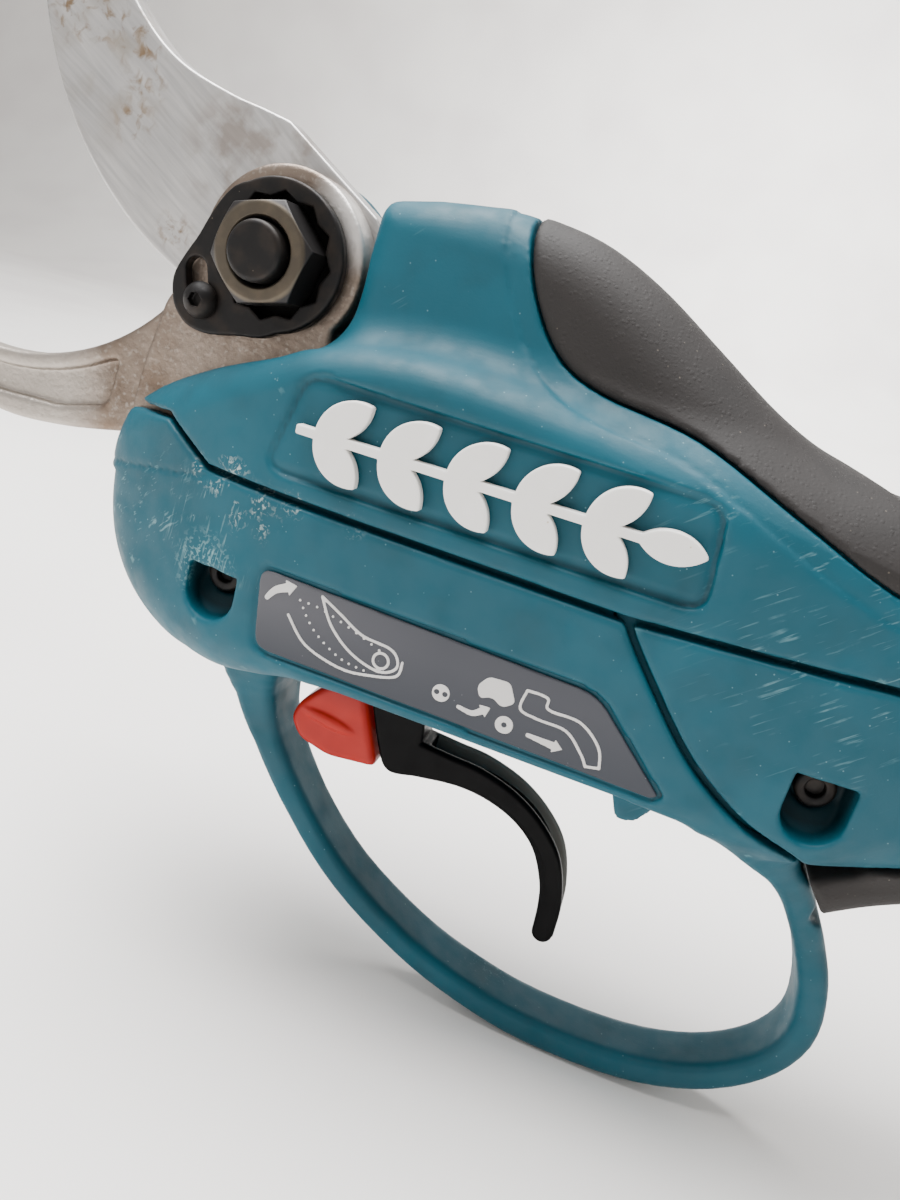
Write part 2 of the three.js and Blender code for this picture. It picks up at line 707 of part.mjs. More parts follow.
function bladeSlots() {
  const close = THREE.MathUtils.degToRad(CLOSE_DEG);
  // The cutting edge's arc centre, turned to the closed position.
  const x = UPPER_EDGE.x * Math.cos(close) - UPPER_EDGE.z * Math.sin(close);
  const z = UPPER_EDGE.x * Math.sin(close) + UPPER_EDGE.z * Math.cos(close);
  const upper = plate(
    polygon([...arc(x, z, UPPER_EDGE.r + 0.9, 190, 320, 20), ...arc(0, 0, HEAD_CUT_R + 5, -50, 60, 6)]),
    BLADE_OUTER_Y - 0.5,
    BLADE_INNER_Y + 0.5,
  );
  const lower = plate(lowerBladeOutline(), BOSS_OUTER_Y - 0.4, BLADE_OUTER_Y);
  const inboard = block(-20, 10, BLADE_OUTER_Y - GAP, 0, -24, -10);
  return join(upper, inboard, lower, lower.translate(-0.4, 0, 0.4), lower.translate(0.4, 0, 0.5),
    lower.translate(0, 0, -0.5));
}

// Housing screws that go in from the left: [name, x, z].
const HOUSING_SCREWS = [
  ["housing_screw_front", 4.6, -44.6],
  ["housing_screw_middle", 91.2, -45.2],
  ["housing_screw_rear", 199, -39.6],
];
// One more goes in from the right, through the hump.
const TOP_SCREW = { x: 28, z: 5.6, seatY: 11 };
const SCREW_SEAT_Y = -17;
const HEAD_R = 2.7;

const screwPost = (x, z, y0, y1) => disc(x, z, 4.3, y0, y1, 16);
const screwBore = (x, z) =>
  join(disc(x, z, 1.9, -FAR, 15.6, 14), disc(x, z, HEAD_R + 0.4, SCREW_SEAT_Y - 3, SCREW_SEAT_Y, 18));

// The pocket over a screw: rounded at the bottom and square at the top, which is `top` above the screw.
// Grown by `grow`, it is the block of plastic that the pocket is sunk into.
const POCKET_TOP = 3;
const FRONT_POCKET_TOP = 1.6;
function pocketOutline(x, z, top, grow) {
  const w = 4.1 + grow;
  return polygon([...arc(x, z - 2, w, 180, 360, 8), [x + w, z + top + grow], [x - w, z + top + grow]]);
}

const screwPocket = (x, z, top = POCKET_TOP) => plate(pocketOutline(x, z, top, 0), -FAR, SCREW_SEAT_Y);
const pocketBlock = (x, z, top = POCKET_TOP) =>
  plate(pocketOutline(x, z, top, 1.2), -SIDE_Y + 1, SCREW_SEAT_Y + 1.6);

function housingScrew(x, z) {
  const head = cut(disc(x, z, HEAD_R, SCREW_SEAT_Y - 2.2, SCREW_SEAT_Y - 0.1, 18),
    disc(x, z, 1.3, -FAR, SCREW_SEAT_Y - 1, 6));
  return join(head, disc(x, z, 1.5, SCREW_SEAT_Y - 0.5, 15, 12));
}

function topScrew() {
  const { x, z, seatY } = TOP_SCREW;
  const head = cut(disc(x, z, HEAD_R, seatY + 0.1, seatY + 2.2, 18), disc(x, z, 1.3, seatY + 1, FAR, 6));
  return join(head, disc(x, z, 1.5, -7.6, seatY + 0.5, 12));
}

// Side recess of the emblem: a long slanted panel with round corners.
const EMBLEM_PANEL = [
  [12.3, -12.8],
  [68, -13.3],
  [69.7, -26.1],
  [9.5, -26],
];
const LABEL_PANEL = [
  [11.4, -38.6],
  [60.6, -40],
  [72.4, -51],
  [71, -52.4],
  [12.4, -50.9],
];

// A polygon with its corners rounded by `r`, shrunk evenly by `gap`.
function roundedOutline(points, r, gap = 0) {
  const centre = points.reduce(([a, b], [x, z]) => [a + x / points.length, b + z / points.length], [0, 0]);
  const inward = (value, middle) => value - Math.sign(value - middle) * gap;
  const inner = points.map(([x, z]) => [inward(x, centre[0]), inward(z, centre[1])]);
  const shape = new THREE.Shape();
  inner.forEach((corner, i) => {
    const at = new THREE.Vector2(...corner);
    const before = new THREE.Vector2(...inner[(i + inner.length - 1) % inner.length]).sub(at);
    const after = new THREE.Vector2(...inner[(i + 1) % inner.length]).sub(at);
    const cutBack = Math.min(r, before.length() * 0.45, after.length() * 0.45);
    const from = at.clone().addScaledVector(before.normalize(), cutBack);
    const to = at.clone().addScaledVector(after.normalize(), cutBack);
    if (i === 0) shape.moveTo(from.x, from.y);
    else shape.lineTo(from.x, from.y);
    shape.quadraticCurveTo(at.x, at.y, to.x, to.y);
  });
  shape.closePath();
  return shape;
}

const recess = (points, r) => plate(roundedOutline(points, r), -FAR, -SIDE_Y + PANEL_DEPTH, 0, 4);

const outerForm = bodyForm(0);
const hollowForm = bodyForm(WALL);
const gripSeat = bodyForm(GRIP_DEPTH + GAP);
const gripBack = bodyForm(GRIP_DEPTH);
const leftHalf = block(-100, 300, -FAR, -0.15, -150, 80);
const rightHalf = block(-100, 300, 0.15, FAR, -150, 80);

// The round cover over the blade gear: its radius outside and inside at the gear, then drawn in past it
// towards the bolt's head.
const COVER = { r: 12.7, neckR: 10.4, headR: 10.1, gearY: 1.4, neckY: 5 };
const COVER_WALL = 1.3;
const PINION_SPACE = { r: 9.2, x0: 7.4, x1: 30 };

const gripPockets = cut(join(topGripZone(0), lowerGripZone(0)), gripSeat);
const skin = cut(outerForm, hollowForm, gripPockets, cableHole());

function cableHole() {
  return shaftX(6.2, 205, 245).translate(0, 0, -36.5);
}

// Room for the gear case and the motor where they come close to the walls.
function driveClearance() {
  const room = join(shaftX(GEARBOX.outerR + 1.2, 38, 58), shaftX(MOTOR_R + GAP, 50, 119));
  return room.rotate([0, DRIVE_TILT_DEG, 0]).translate(0, DRIVE_Y, 0);
}

// The drawn-in part of the cover out to `endY`, with its radius less `inset`.
const coverNeck = (inset, endY) =>
  loft([
    circleY(COVER.r - inset, COVER.gearY, 32),
    circleY(COVER.neckR - inset, COVER.neckY, 32),
    circleY(COVER.headR - inset, endY, 32),
  ]);

function upperShells() {
  const { x, z, seatY } = TOP_SCREW;
  const shell = cut(keep(skin, upperZone()), headOpening(), driveClearance());
  const leftPost = cut(keep(screwPost(x, z, -18, -0.15), outerForm), disc(x, z, 1.8, -8, 1, 12));
  const left = cut(join(keep(shell, leftHalf), leftPost), bladeSlots(), recess(EMBLEM_PANEL, 3.4));
  // The cover over the blade gear is part of the right shell.
  const cover = cut(
    join(
      disc(0, 0, COVER.r, BLADE_INNER_Y + 0.8, COVER.gearY, 32),
      coverNeck(0, COVER_INNER_Y + 3),
      keep(outerForm, upperZone(), disc(0, 0, HEAD_CUT_R + 1, 0.15, COVER_INNER_Y + 0.6, 32)),
    ),
    disc(0, 0, COVER.r - COVER_WALL, -FAR, COVER.gearY, 32),
    coverNeck(COVER_WALL, COVER_INNER_Y),
    shaftX(PINION_SPACE.r, PINION_SPACE.x0, PINION_SPACE.x1).rotate([0, DRIVE_TILT_DEG, 0]).translate(0, DRIVE_Y, 0),
    block(-FAR, 30, -FAR, 0.15, -60, -9),
  );
  const rightPost = cut(
    keep(screwPost(x, z, 0.15, 18), outerForm),
    disc(x, z, 1.8, -1, FAR, 12),
    disc(x, z, HEAD_R + 0.4, seatY, FAR, 16),
  );
  const screwed = cut(keep(shell, rightHalf), disc(x, z, HEAD_R + 0.4, seatY, FAR, 16));
  const right = cut(join(screwed, cover), rightPost);
  return [left, join(right, rightPost)];
}

function lowerShells() {
  const shell = cut(keep(skin, underSeam(), behindRearSeam()), driveClearance());
  const screws = HOUSING_SCREWS.slice(1);
  const build = (halfSpace, y0, y1) => {
    const blocks = screws.map(([, x, z]) => join(screwPost(x, z, y0, y1), pocketBlock(x, z)));
    const posts = blocks.map((post) => keep(post, gripSeat, underSeam(), halfSpace));
    return cut(join(keep(shell, halfSpace), ...posts), ...screws.map(([, x, z]) => screwBore(x, z)));
  };
  const left = cut(build(leftHalf, -23, -0.15), ...screws.map(([, x, z]) => screwPocket(x, z)));
  return [left, build(rightHalf, 0.15, 23)];
}

// The guard loop: [x, z, thickness, half width] along its middle line, from the nose round to the rear.
const GUARD_STATIONS = [
  [7, -50, 17, 15],
  [6.6, -60, 11.5, 10.5],
  [7.8, -68, 7, 7],
  [11.2, -76, 5.2, 5.4],
  [19.8, -87.3, 4.6, 5],
  [30.4, -97, 4.5, 5],
  [44, -104.6, 4.6, 5],
  [56, -108.6, 4.8, 5],
  [68.5, -110.6, 5, 5],
  [84.5, -109.9, 5, 5],
  [96.2, -106.2, 4.8, 5],
  [104.4, -99.8, 4.6, 5],
  [108.2, -92, 4.6, 5],
  [107.2, -83.5, 4.6, 5.2],
  [103.6, -75.4, 4.6, 6.4],
  [98.4, -67, 4.6, 10],
  [94, -61.6, 5, 14],
  [88.5, -57, 6.4, 18.5],
  [82, -52, 8, 21],
];

function guardLoop() {
  const middle = GUARD_STATIONS.map(([x, z]) => new THREE.Vector2(x, z));
  const rings = GUARD_STATIONS.map(([x, z, thick, w], i) => {
    const ahead = middle[Math.min(i + 1, middle.length - 1)];
    const behind = middle[Math.max(i - 1, 0)];
    const along = ahead.clone().sub(behind).normalize();
    const t = thick / 2;
    const r = Math.min(1.5, t * 0.7);
    const corners = [
      arc(w - r, -t + r, r, -90, 0, 2),
      arc(w - r, t - r, r, 0, 90, 2),
      arc(-w + r, t - r, r, 90, 180, 2),
      arc(-w + r, -t + r, r, 180, 270, 2),
    ].flat();
    return corners.map(([y, n]) => new THREE.Vector3(x - along.y * n, y, z + along.x * n));
  });
  return loft(rings);
}

function guardShell() {
  const band = cut(guardLoop(), bodyForm(WALL), block(-FAR, 200, -FAR, FAR, FLOOR_Z + 4, 0));
  const walls = keep(cut(skin, bladeSlots(), slab([[-40, -22], [-20, -25.4], [-15.6, -23.4], [-15.6, -10],
    [-40, -10]])), underSeam(), frontOfRearSeam());
  const rearOfBand = slab([...shifted(REAR_SEAM, -half * 1.3, -half * 0.8), [130, SEAM_END_Z], [130, -26]]);
  const slot = block(22, 42, -TRIGGER_HALF - 1.2, TRIGGER_HALF + 1.2, -80, FLOOR_Z + 6);
  const bossPair = [-1, 1].map((side) => {
    const [near, far] = side < 0 ? [-SIDE_Y + 1, -9] : [9, SIDE_Y - 1];
    return disc(TRIGGER_PIVOT.x, TRIGGER_PIVOT.z, 4, near, far, 16);
  });
  const [, fx, fz] = HOUSING_SCREWS[0];
  const post = keep(join(screwPost(fx, fz, -21, 21), pocketBlock(fx, fz, FRONT_POCKET_TOP)), outerForm);
  return cut(
    join(walls, cut(band, rearOfBand), ...bossPair, post),
    slot,
    disc(TRIGGER_PIVOT.x, TRIGGER_PIVOT.z, 1.9, -12.4, 12.4, 16),
    recess(LABEL_PANEL, 2.6),
    screwBore(fx, fz),
    screwPocket(fx, fz, FRONT_POCKET_TOP),
    ...LOWER_SCREWS.map(([x, z]) => disc(x, z, 4.4, BOSS_OUTER_Y - 5, 4, 12)),
    rearSeamCut(),
  );
}

// Clears the guard shell from the lower handle shells and the lower grip.
const rearSeamCut = () => keep(behindRearSeam(), block(60, 300, -FAR, FAR, -58.2, 0));

function grips() {
  const rubber = cut(outerForm, gripBack);
  const top = keep(rubber, topGripZone(GAP));
  const heel = cut(gripHeel(0), gripBack);
  const lower = keep(join(rubber, heel), lowerGripZone(GAP), behindRearSeam());
  return [top, lower];
}

// A raised sprig in the emblem panel, in one piece: a stem with pairs of pointed leaves and one at its tip.
const SPRIG = { z: -19.7, start: 13.4, end: 61, pairs: 5, firstX: 16, pitch: 9.1 };

// A leaf is what two equal discs share.
function leaf(x, z, angleDeg, length, halfWidth, nearY, farY) {
  const r = (length ** 2 / 4 + halfWidth ** 2) / (2 * halfWidth);
  const a = THREE.MathUtils.degToRad(angleDeg);
  const [mx, mz] = [x + (length / 2) * Math.cos(a), z + (length / 2) * Math.sin(a)];
  const off = r - halfWidth;
  const side = (d) => disc(mx - d * Math.sin(a), mz + d * Math.cos(a), r, nearY, farY, 48);
  return keep(side(off), side(-off));
}

function emblem() {
  const back = -SIDE_Y + PANEL_DEPTH - GAP;
  const front = -SIDE_Y - 1;
  const { z, start, end, pairs, firstX, pitch } = SPRIG;
  const stem = block(start, end, front, back, z - 0.65, z + 0.65);
  const leaves = [leaf(end - 2, z, 0, 9, 2.1, front, back)];
  for (let i = 0; i < pairs; i++) {
    for (const angle of [38, -38]) leaves.push(leaf(firstX + i * pitch, z, angle, 8.8, 2.3, front, back));
  }
  return join(stem, ...leaves);
}

const functionLabel = () =>
  plate(
    roundedOutline(LABEL_PANEL, 2.4, 0.35),
    -SIDE_Y + PANEL_DEPTH - 0.5 - GAP,
    -SIDE_Y + PANEL_DEPTH - GAP,
    0, 4);

// The collar that holds the battery lead where it enters the handle, with its open bore.
function cableGland() {
  const collar = cut(
    turned([
      [0, 208],
      [5.8, 208],
      [5.8, 229.8],
      [9.4, 229.8],
      [9.4, 232.4],
      [8, 236],
      [0, 236],
    ]),
    shaftX(3.6, 200, 240),
  );
  return collar.translate(0, 0, -36.5);
}

// ---------------------------------------------------------------- controls
function trigger() {
  const front = smooth([[26, -60.6], [29.4, -69.2], [32.4, -74], [38, -73.2], [43.8, -72.3], [49.5, -72.6],
    [55.1, -74.5], [59.4, -78], [62.2, -83.3], [63.2, -87.6], [63.4, -91.6]], 20);
  const back = smooth([[67.4, -92], [66.8, -85.4], [64.4, -78.3], [60.2, -73.4], [54.6, -69.8], [48, -67.8],
    [42.4, -67.4], [37, -67]], 16);
  const tail = [[36.4, -62], [36.4, -45], [34.5, -39.5], [30.5, -39.5], [27, -46]];
  const slotHalf = TONGUE_HALF + GAP;
  const tongueSlot = plate(
    polygon([[20, -53.6], [34.6, -53.6], [34.6, -64], [30, -80], [20, -80]]), -slotHalf, slotHalf);
  return cut(
    plate(polygon([...front, [65.6, -93.4], ...back, ...tail]), -TRIGGER_HALF, TRIGGER_HALF, 0.8),
    tongueSlot,
    disc(TRIGGER_PIVOT.x, TRIGGER_PIVOT.z, 1.55, -FAR, FAR, 16),
    disc(LEVER_PIVOT.x, LEVER_PIVOT.z, 1.55, -FAR, FAR, 16),
  );
}

function lockLever() {
  const nose = polygon([[25.4, -61], [21.6, -61], [18.4, -63.4], [14.8, -67.8], [14.3, -70.4], [16.4, -73.6],
    [22, -74.9], [31, -73.8], [28.8, -69.4]]);
  const round = arc(LEVER_PIVOT.x, LEVER_PIVOT.z, 3, 125, -70, 8);
  const tongue = polygon([[23.4, -62], [28.4, -56.2], ...round, [27.4, -70], [24, -68]]);
  return cut(
    join(plate(nose, -LEVER_HALF, LEVER_HALF, 1), plate(tongue, -TONGUE_HALF, TONGUE_HALF)),
    disc(LEVER_PIVOT.x, LEVER_PIVOT.z, 1.55, -FAR, FAR, 16),
  );
}

// The return spring: three turns of wire round the trigger's pin, beside the trigger.
function triggerSpring() {
  const points = [];
  const turns = 2.5;
  for (let i = 0; i <= turns * 8; i++) {
    const a = (i / 8) * 2 * Math.PI;
    points.push([TRIGGER_PIVOT.x + 2.6 * Math.cos(a), 5.6 + i * 0.13, TRIGGER_PIVOT.z + 2.6 * Math.sin(a)]);
  }
  return wire(points, 0.4, 40, 6);
}

const pin = (at, r, halfLength) => disc(at.x, at.z, r, -halfLength, halfLength, 16);

function triggerSwitch() {
  return cut(block(9.6, 20.4, -5, 5, -50, -38), block(14, 21, -1.5, 1.5, -45.5, -42.5));
}
const switchPlunger = () =>
  join(block(16, 25.6, -1.2, 1.2, -45.2, -42.8), block(24.6, 27, -2.2, 2.2, -45.4, -42));

// ---------------------------------------------------------------- electronics
function controllerBoard() {
  const parts = [
    block(132, 196, -12, 12, -31.4, -29.8),
    toSolid(new THREE.CylinderGeometry(5, 5, 18, 20).rotateZ(Math.PI / 2).translate(148, 0, -24.9)),
    block(164, 172, -10, -2, -30.5, -27),
    block(164, 172, 2, 10, -30.5, -27),
    block(180, 190, -6, 6, -30.5, -22),
  ];
  return join(...parts);
}

function motorLead(side) {
  const y = side * 5 + DRIVE_Y * 0.5;
  return wire([[116.6, y, -31.4], [121, y, -32.2], [127, side * 6, -33.6], [134, side * 6, -33.4]], 1, 10, 8);
}

// ---------------------------------------------------------------- assembly
function driveLine() {
  const line = new THREE.Group();
  line.position.y = DRIVE_Y;
  line.rotation.y = THREE.MathUtils.degToRad(DRIVE_TILT_DEG);
  line.add(
    part("bevel_pinion", bevelPinion(), "steel"),
    part("pinion_bearing_front", bearing(14.8), "steel"),
    part("pinion_bearing_rear", bearing(32), "steel"),
    part("gear_case", gearCase(), "alloy"),
    part("ring_gear", ringGear(), "steel"),
    part("planet_carrier", planetCarrier(), "steel"),
    part("sun_gear", sunGear(), "steel"),
    part("motor_rotor", motorShaft(), "steel"),
    part("motor_plate", motorPlate(), "alloy"),
    part("motor_can", motorCan(), "oxide"),
    part("motor_cap", motorCap(), "black"),
  );
  for (let i = 0; i < PLANETS; i++) line.add(part(`planet_gear_${i + 1}`, planetGear(i), "steel"));
  return line;
}

function cuttingHead() {
  const head = new THREE.Group();
  const boltClear = disc(0, 0, BOLT_R + 0.2, -FAR, FAR, 28);
  const bush = cut(disc(0, 0, BOLT_R + 1.2, BLADE_OUTER_Y + 0.3, 6, 28), boltClear);
  const washer = cut(disc(0, 0, 8.4, 6.3, 7.5, 28), boltClear);
  head.add(
    part("upper_blade", upperBlade(), "steel"),
    part("lower_blade", lowerBlade(), "cast"),
    part("blade_gear", bladeGear(), "steel"),
    part("pivot_bush", bush, "bronze"),
    part("thrust_washer", washer, "bronze"),
    part("pivot_bolt", pivotBolt(), "oxide"),
    part("pivot_nut", pivotNut(), "oxide"),
    part("lock_plate", lockPlate(), "oxide"),
    part("lock_screw", lockScrew(), "oxide"),
  );
  LOWER_SCREWS.forEach(([x, z], i) => {
    const screw = join(disc(x, z, 2, -15, -3.5, 16), disc(x, z, 3.8, -15, BOSS_OUTER_Y - GAP, 6));
    head.add(part(`blade_screw_${i + 1}`, screw, "oxide"));
  });
  return head;
}

function handleShells() {
  const shells = new THREE.Group();
  const [upperLeft, upperRight] = upperShells();
  const [lowerLeft, lowerRight] = lowerShells();
  const [topGrip, lowerGrip] = grips();
  shells.add(
    part("upper_housing_left", upperLeft, "teal"),
    part("upper_housing_right", upperRight, "teal"),
    part("lower_housing_left", lowerLeft, "tealDark"),
    part("lower_housing_right", lowerRight, "tealDark"),
    part("guard_shell", guardShell(), "teal"),
    part("top_grip", topGrip, "rubber"),
    part("lower_grip", lowerGrip, "rubber"),
    part("emblem", emblem(), "white"),
    part("function_label", functionLabel(), "label"),
    part("cable_gland", cableGland(), "rubber"),
  );
  for (const [name, x, z] of HOUSING_SCREWS) shells.add(part(name, housingScrew(x, z), "oxide"));
  shells.add(part("housing_screw_top", topScrew(), "oxide"));
  return shells;
}

function controls() {
  const group = new THREE.Group();
  group.add(
    part("trigger", trigger(), "black"),
    part("trigger_pin", pin(TRIGGER_PIVOT, 1.5, 12), "steel"),
    part("trigger_spring", triggerSpring(), "steel"),
    part("lock_lever", lockLever(), "red"),
    part("lever_pin", pin(LEVER_PIVOT, 1.5, TRIGGER_HALF - 0.2), "steel"),
    part("trigger_switch", triggerSwitch(), "black"),
    part("switch_plunger", switchPlunger(), "white"),
    part("controller_board", controllerBoard(), "board"),
    part("motor_lead_left", motorLead(-1), "red"),
    part("motor_lead_right", motorLead(1), "black"),
  );
  return group;
}

const pruner = new THREE.Group();
pruner.add(cuttingHead(), driveLine(), handleShells(), controls());
pruner.updateMatrixWorld(true);
const middle = new THREE.Box3().setFromObject(pruner).getCenter(new THREE.Vector3());
pruner.position.copy(middle.negate());

export default pruner;
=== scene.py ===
import json
import math

import bpy
import numpy as np
import openvdb
from mathutils import Matrix, Vector


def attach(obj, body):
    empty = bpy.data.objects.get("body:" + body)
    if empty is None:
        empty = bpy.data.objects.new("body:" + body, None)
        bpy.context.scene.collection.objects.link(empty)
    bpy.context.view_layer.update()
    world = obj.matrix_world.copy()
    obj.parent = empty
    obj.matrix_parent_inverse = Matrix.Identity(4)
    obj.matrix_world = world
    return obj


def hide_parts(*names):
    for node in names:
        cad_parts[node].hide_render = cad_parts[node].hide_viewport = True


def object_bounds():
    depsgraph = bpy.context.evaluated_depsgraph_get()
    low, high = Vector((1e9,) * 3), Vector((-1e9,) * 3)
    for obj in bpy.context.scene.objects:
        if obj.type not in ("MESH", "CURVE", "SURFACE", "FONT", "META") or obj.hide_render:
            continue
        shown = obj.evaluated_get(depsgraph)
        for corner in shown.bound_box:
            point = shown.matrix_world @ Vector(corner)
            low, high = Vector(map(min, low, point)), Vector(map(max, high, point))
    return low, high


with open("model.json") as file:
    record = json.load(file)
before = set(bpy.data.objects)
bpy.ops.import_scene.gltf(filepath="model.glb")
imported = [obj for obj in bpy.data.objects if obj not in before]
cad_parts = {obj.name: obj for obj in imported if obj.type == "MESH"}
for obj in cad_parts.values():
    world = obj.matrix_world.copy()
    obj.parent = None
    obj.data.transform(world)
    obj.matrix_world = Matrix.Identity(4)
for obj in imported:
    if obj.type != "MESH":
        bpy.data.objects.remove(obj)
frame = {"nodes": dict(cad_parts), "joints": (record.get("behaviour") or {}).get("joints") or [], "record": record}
CAD_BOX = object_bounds()

# Battery electric pruner. Shapes are worked out as distance fields, in millimetres from the blade pivot,
# and each field's surface becomes one mesh. X runs to the cord end, Y to the right side, Z upwards.
MM = 0.001
JOINTS = {joint["name"]: joint for joint in frame["joints"]}
PIVOT = Vector(JOINTS["blade_pivot"]["pos_m"])

SIDE_Y = 25
WALL = 3.4
GRIP_DEPTH = 1.7
HALF_SEAM = 0.5
EDGE_ROUND = 0.5
PANEL_DEPTH = 0.8
FAR = 60

BOLT_END_Y = -20.6
NUT_OUTER_Y = -18.9
PLATE_OUTER_Y = -14.4
BOSS_OUTER_Y = -12
BLADE_OUTER_Y = -6.3
BLADE_INNER_Y = -2.3
COVER_INNER_Y = 12.4
BOLT_R = 4
BOSS_R = 12.4
HEAD_CUT_R = 14.6
UPPER_EDGE = (0.9, 39.8, 49.8)
LOWER_EDGE = (-45.7, 13, 37.3)
BLADE_HUB_R = 13.6
TRIGGER_HALF = 3.6
LEVER_HALF = 4.6
COVER_R = 12.7
COVER_WALL = 1.3
OPENING_R = 13.5
HALF_GAP = 0.15
CABLE_Z = -36.5
TRIGGER_PIN = (31, -49)
LEVER_PIN = (31, -58)
PIN_HOLE_R = 1.55
SCREW_SEAT_Y = -17
POCKET_TOP = 3
FRONT_POCKET_TOP = 1.6
SPRIG_Z = -19.7
CLOSE_DEG = JOINTS["blade_pivot"]["range_deg"][1]
FINE = 1.0


# ---------------------------------------------------------------- outlines
def arc(u, v, r, from_deg, to_deg, steps=12):
    turns = np.radians(np.linspace(from_deg, to_deg, steps + 1))
    return [(u + r * math.cos(t), v + r * math.sin(t)) for t in turns]


def smooth(points, steps=6):
    """Points of a smooth curve through the points given, with `steps` to each stretch."""
    p = np.array([points[0], *points, points[-1]], float)
    curve = []
    for i in range(1, len(p) - 2):
        for t in np.arange(steps) / steps:
            a = 2 * p[i]
            b = (p[i + 1] - p[i - 1]) * t
            c = (2 * p[i - 1] - 5 * p[i] + 4 * p[i + 1] - p[i + 2]) * t * t
            d = (-p[i - 1] + 3 * p[i] - 3 * p[i + 1] + p[i + 2]) * t**3
            curve.append(tuple((a + b + c + d) / 2))
    return curve + [tuple(p[-2])]


def rounded(points, r, steps=5):
    """A closed outline with its corners rounded."""
    p = np.array(points, float)
    made = []
    for i, at in enumerate(p):
        before, after = p[i - 1] - at, p[(i + 1) % len(p)] - at
        back = min(r, 0.45 * np.hypot(*before), 0.45 * np.hypot(*after))
        start, end = at + before / np.hypot(*before) * back, at + after / np.hypot(*after) * back
        for t in np.linspace(0, 1, steps):
            made.append(tuple((1 - t) ** 2 * start + 2 * t * (1 - t) * at + t * t * end))
    return made


def outline_distance(points, u, v):
    """Signed distance from each (u, v) to a closed outline, negative inside it."""
    nearest = np.full(np.broadcast(u, v).shape, 1e9, np.float32)
    inside = np.zeros(nearest.shape, bool)
    for (au, av), (bu, bv) in zip(points, [*points[1:], points[0]]):
        du, dv = bu - au, bv - av
        t = np.clip(((u - au) * du + (v - av) * dv) / max(du * du + dv * dv, 1e-9), 0, 1)
        nearest = np.minimum(nearest, (u - au - t * du) ** 2 + (v - av - t * dv) ** 2)
        if dv:
            inside ^= ((av > v) != (bv > v)) & (u < du * (v - av) / dv + au)
    return (np.where(inside, -1, 1) * np.sqrt(nearest)).astype(np.float32)


def path_distance(points, u, v):
    """Distance from each (u, v) to an open path, and the place along it as a share of its points."""
    nearest = np.full(np.broadcast(u, v).shape, 1e9, np.float32)
    place = np.zeros(nearest.shape, np.float32)
    for i, ((au, av), (bu, bv)) in enumerate(zip(points, points[1:])):
        du, dv = bu - au, bv - av
        t = np.clip(((u - au) * du + (v - av) * dv) / max(du * du + dv * dv, 1e-9), 0, 1)
        square = (u - au - t * du) ** 2 + (v - av - t * dv) ** 2
        place = np.where(square < nearest, i + t, place)
        nearest = np.minimum(nearest, square)
    return np.sqrt(nearest), place


# ---------------------------------------------------------------- fields
class Grid:
    """Sample points in a box, in millimetres from the pivot."""

    def __init__(self, low, high, step, step_y=None):
        self.low = np.array(low, float)
        self.steps = np.array([step, step_y or step, step]) * FINE
        counts = np.ceil((np.array(high) - self.low) / self.steps).astype(int) + 1
        lines = [l + s * np.arange(n) for l, s, n in zip(self.low, self.steps, counts)]
        self.x = lines[0][:, None, None].astype(np.float32)
        self.y = lines[1][None, :, None].astype(np.float32)
        self.z = lines[2][None, None, :].astype(np.float32)

    def side(self, points):
        return outline_distance(points, self.x, self.z)

    def top(self, points):
        return outline_distance(points, self.x, self.y)

    def disc(self, u, v, r, y0, y1, rounding=0.0):
        """A round bar along Y."""
        around = np.hypot(self.x - u, self.z - v) - r
        return both(around, self.slab(y0, y1), rounding)

    def slab(self, y0, y1):
        return np.abs(self.y - (y0 + y1) / 2) - abs(y1 - y0) / 2


def both(a, b, r=0.0):
    """What two fields share, with the edge between them rounded."""
    if np.isscalar(r) and r == 0:
        return np.maximum(a, b)
    u, v = np.maximum(a + r, 0), np.maximum(b + r, 0)
    return np.minimum(np.maximum(a, b), -r) + np.sqrt(u * u + v * v)


def either(a, b, r=0.0):
    """Two fields joined, with the corner between them filled."""
    return -both(-a, -b, r)


def without(a, b, r=0.0):
    return both(a, -b, r)


def link(made):
    bpy.context.scene.collection.objects.link(made)


def surface(name, field, grid, body, material, nodes=None):
    """One smooth closed mesh at the field's zero level, riding on a body. It replaces the CAD node of its
    own name, unless `nodes` says otherwise."""
    band = 4 * float(max(grid.steps))
    vdb = openvdb.FloatGrid(band)
    vdb.copyFromArray(np.ascontiguousarray(np.clip(field, -band, band), np.float32))
    points, quads = vdb.convertToQuads(0.0)
    points = (points * grid.steps + grid.low) * MM + np.array(PIVOT)
    corners = points[quads]
    across = np.cross(corners[:, 2] - corners[:, 0], corners[:, 3] - corners[:, 1])
    if (across * (corners[:, 0] - points.mean(0))).sum() < 0:
        quads = quads[:, ::-1]
    mesh = bpy.data.meshes.new(name)
    mesh.vertices.add(len(points))
    mesh.vertices.foreach_set("co", points.astype(np.float32).ravel())
    mesh.loops.add(quads.size)
    mesh.loops.foreach_set("vertex_index", quads.astype(np.int32).ravel())
    mesh.polygons.add(len(quads))
    mesh.polygons.foreach_set("loop_start", np.arange(0, quads.size, 4, dtype=np.int32))
    mesh.polygons.foreach_set("use_smooth", np.ones(len(quads), bool))
    mesh.update(calc_edges=True)
    mesh.validate()
    made = bpy.data.objects.new(name, mesh)
    link(made)
    mesh.materials.append(material)
    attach(made, body)
    if nodes is None:
        nodes = [name]
    if nodes:
        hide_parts(*nodes)
    return made


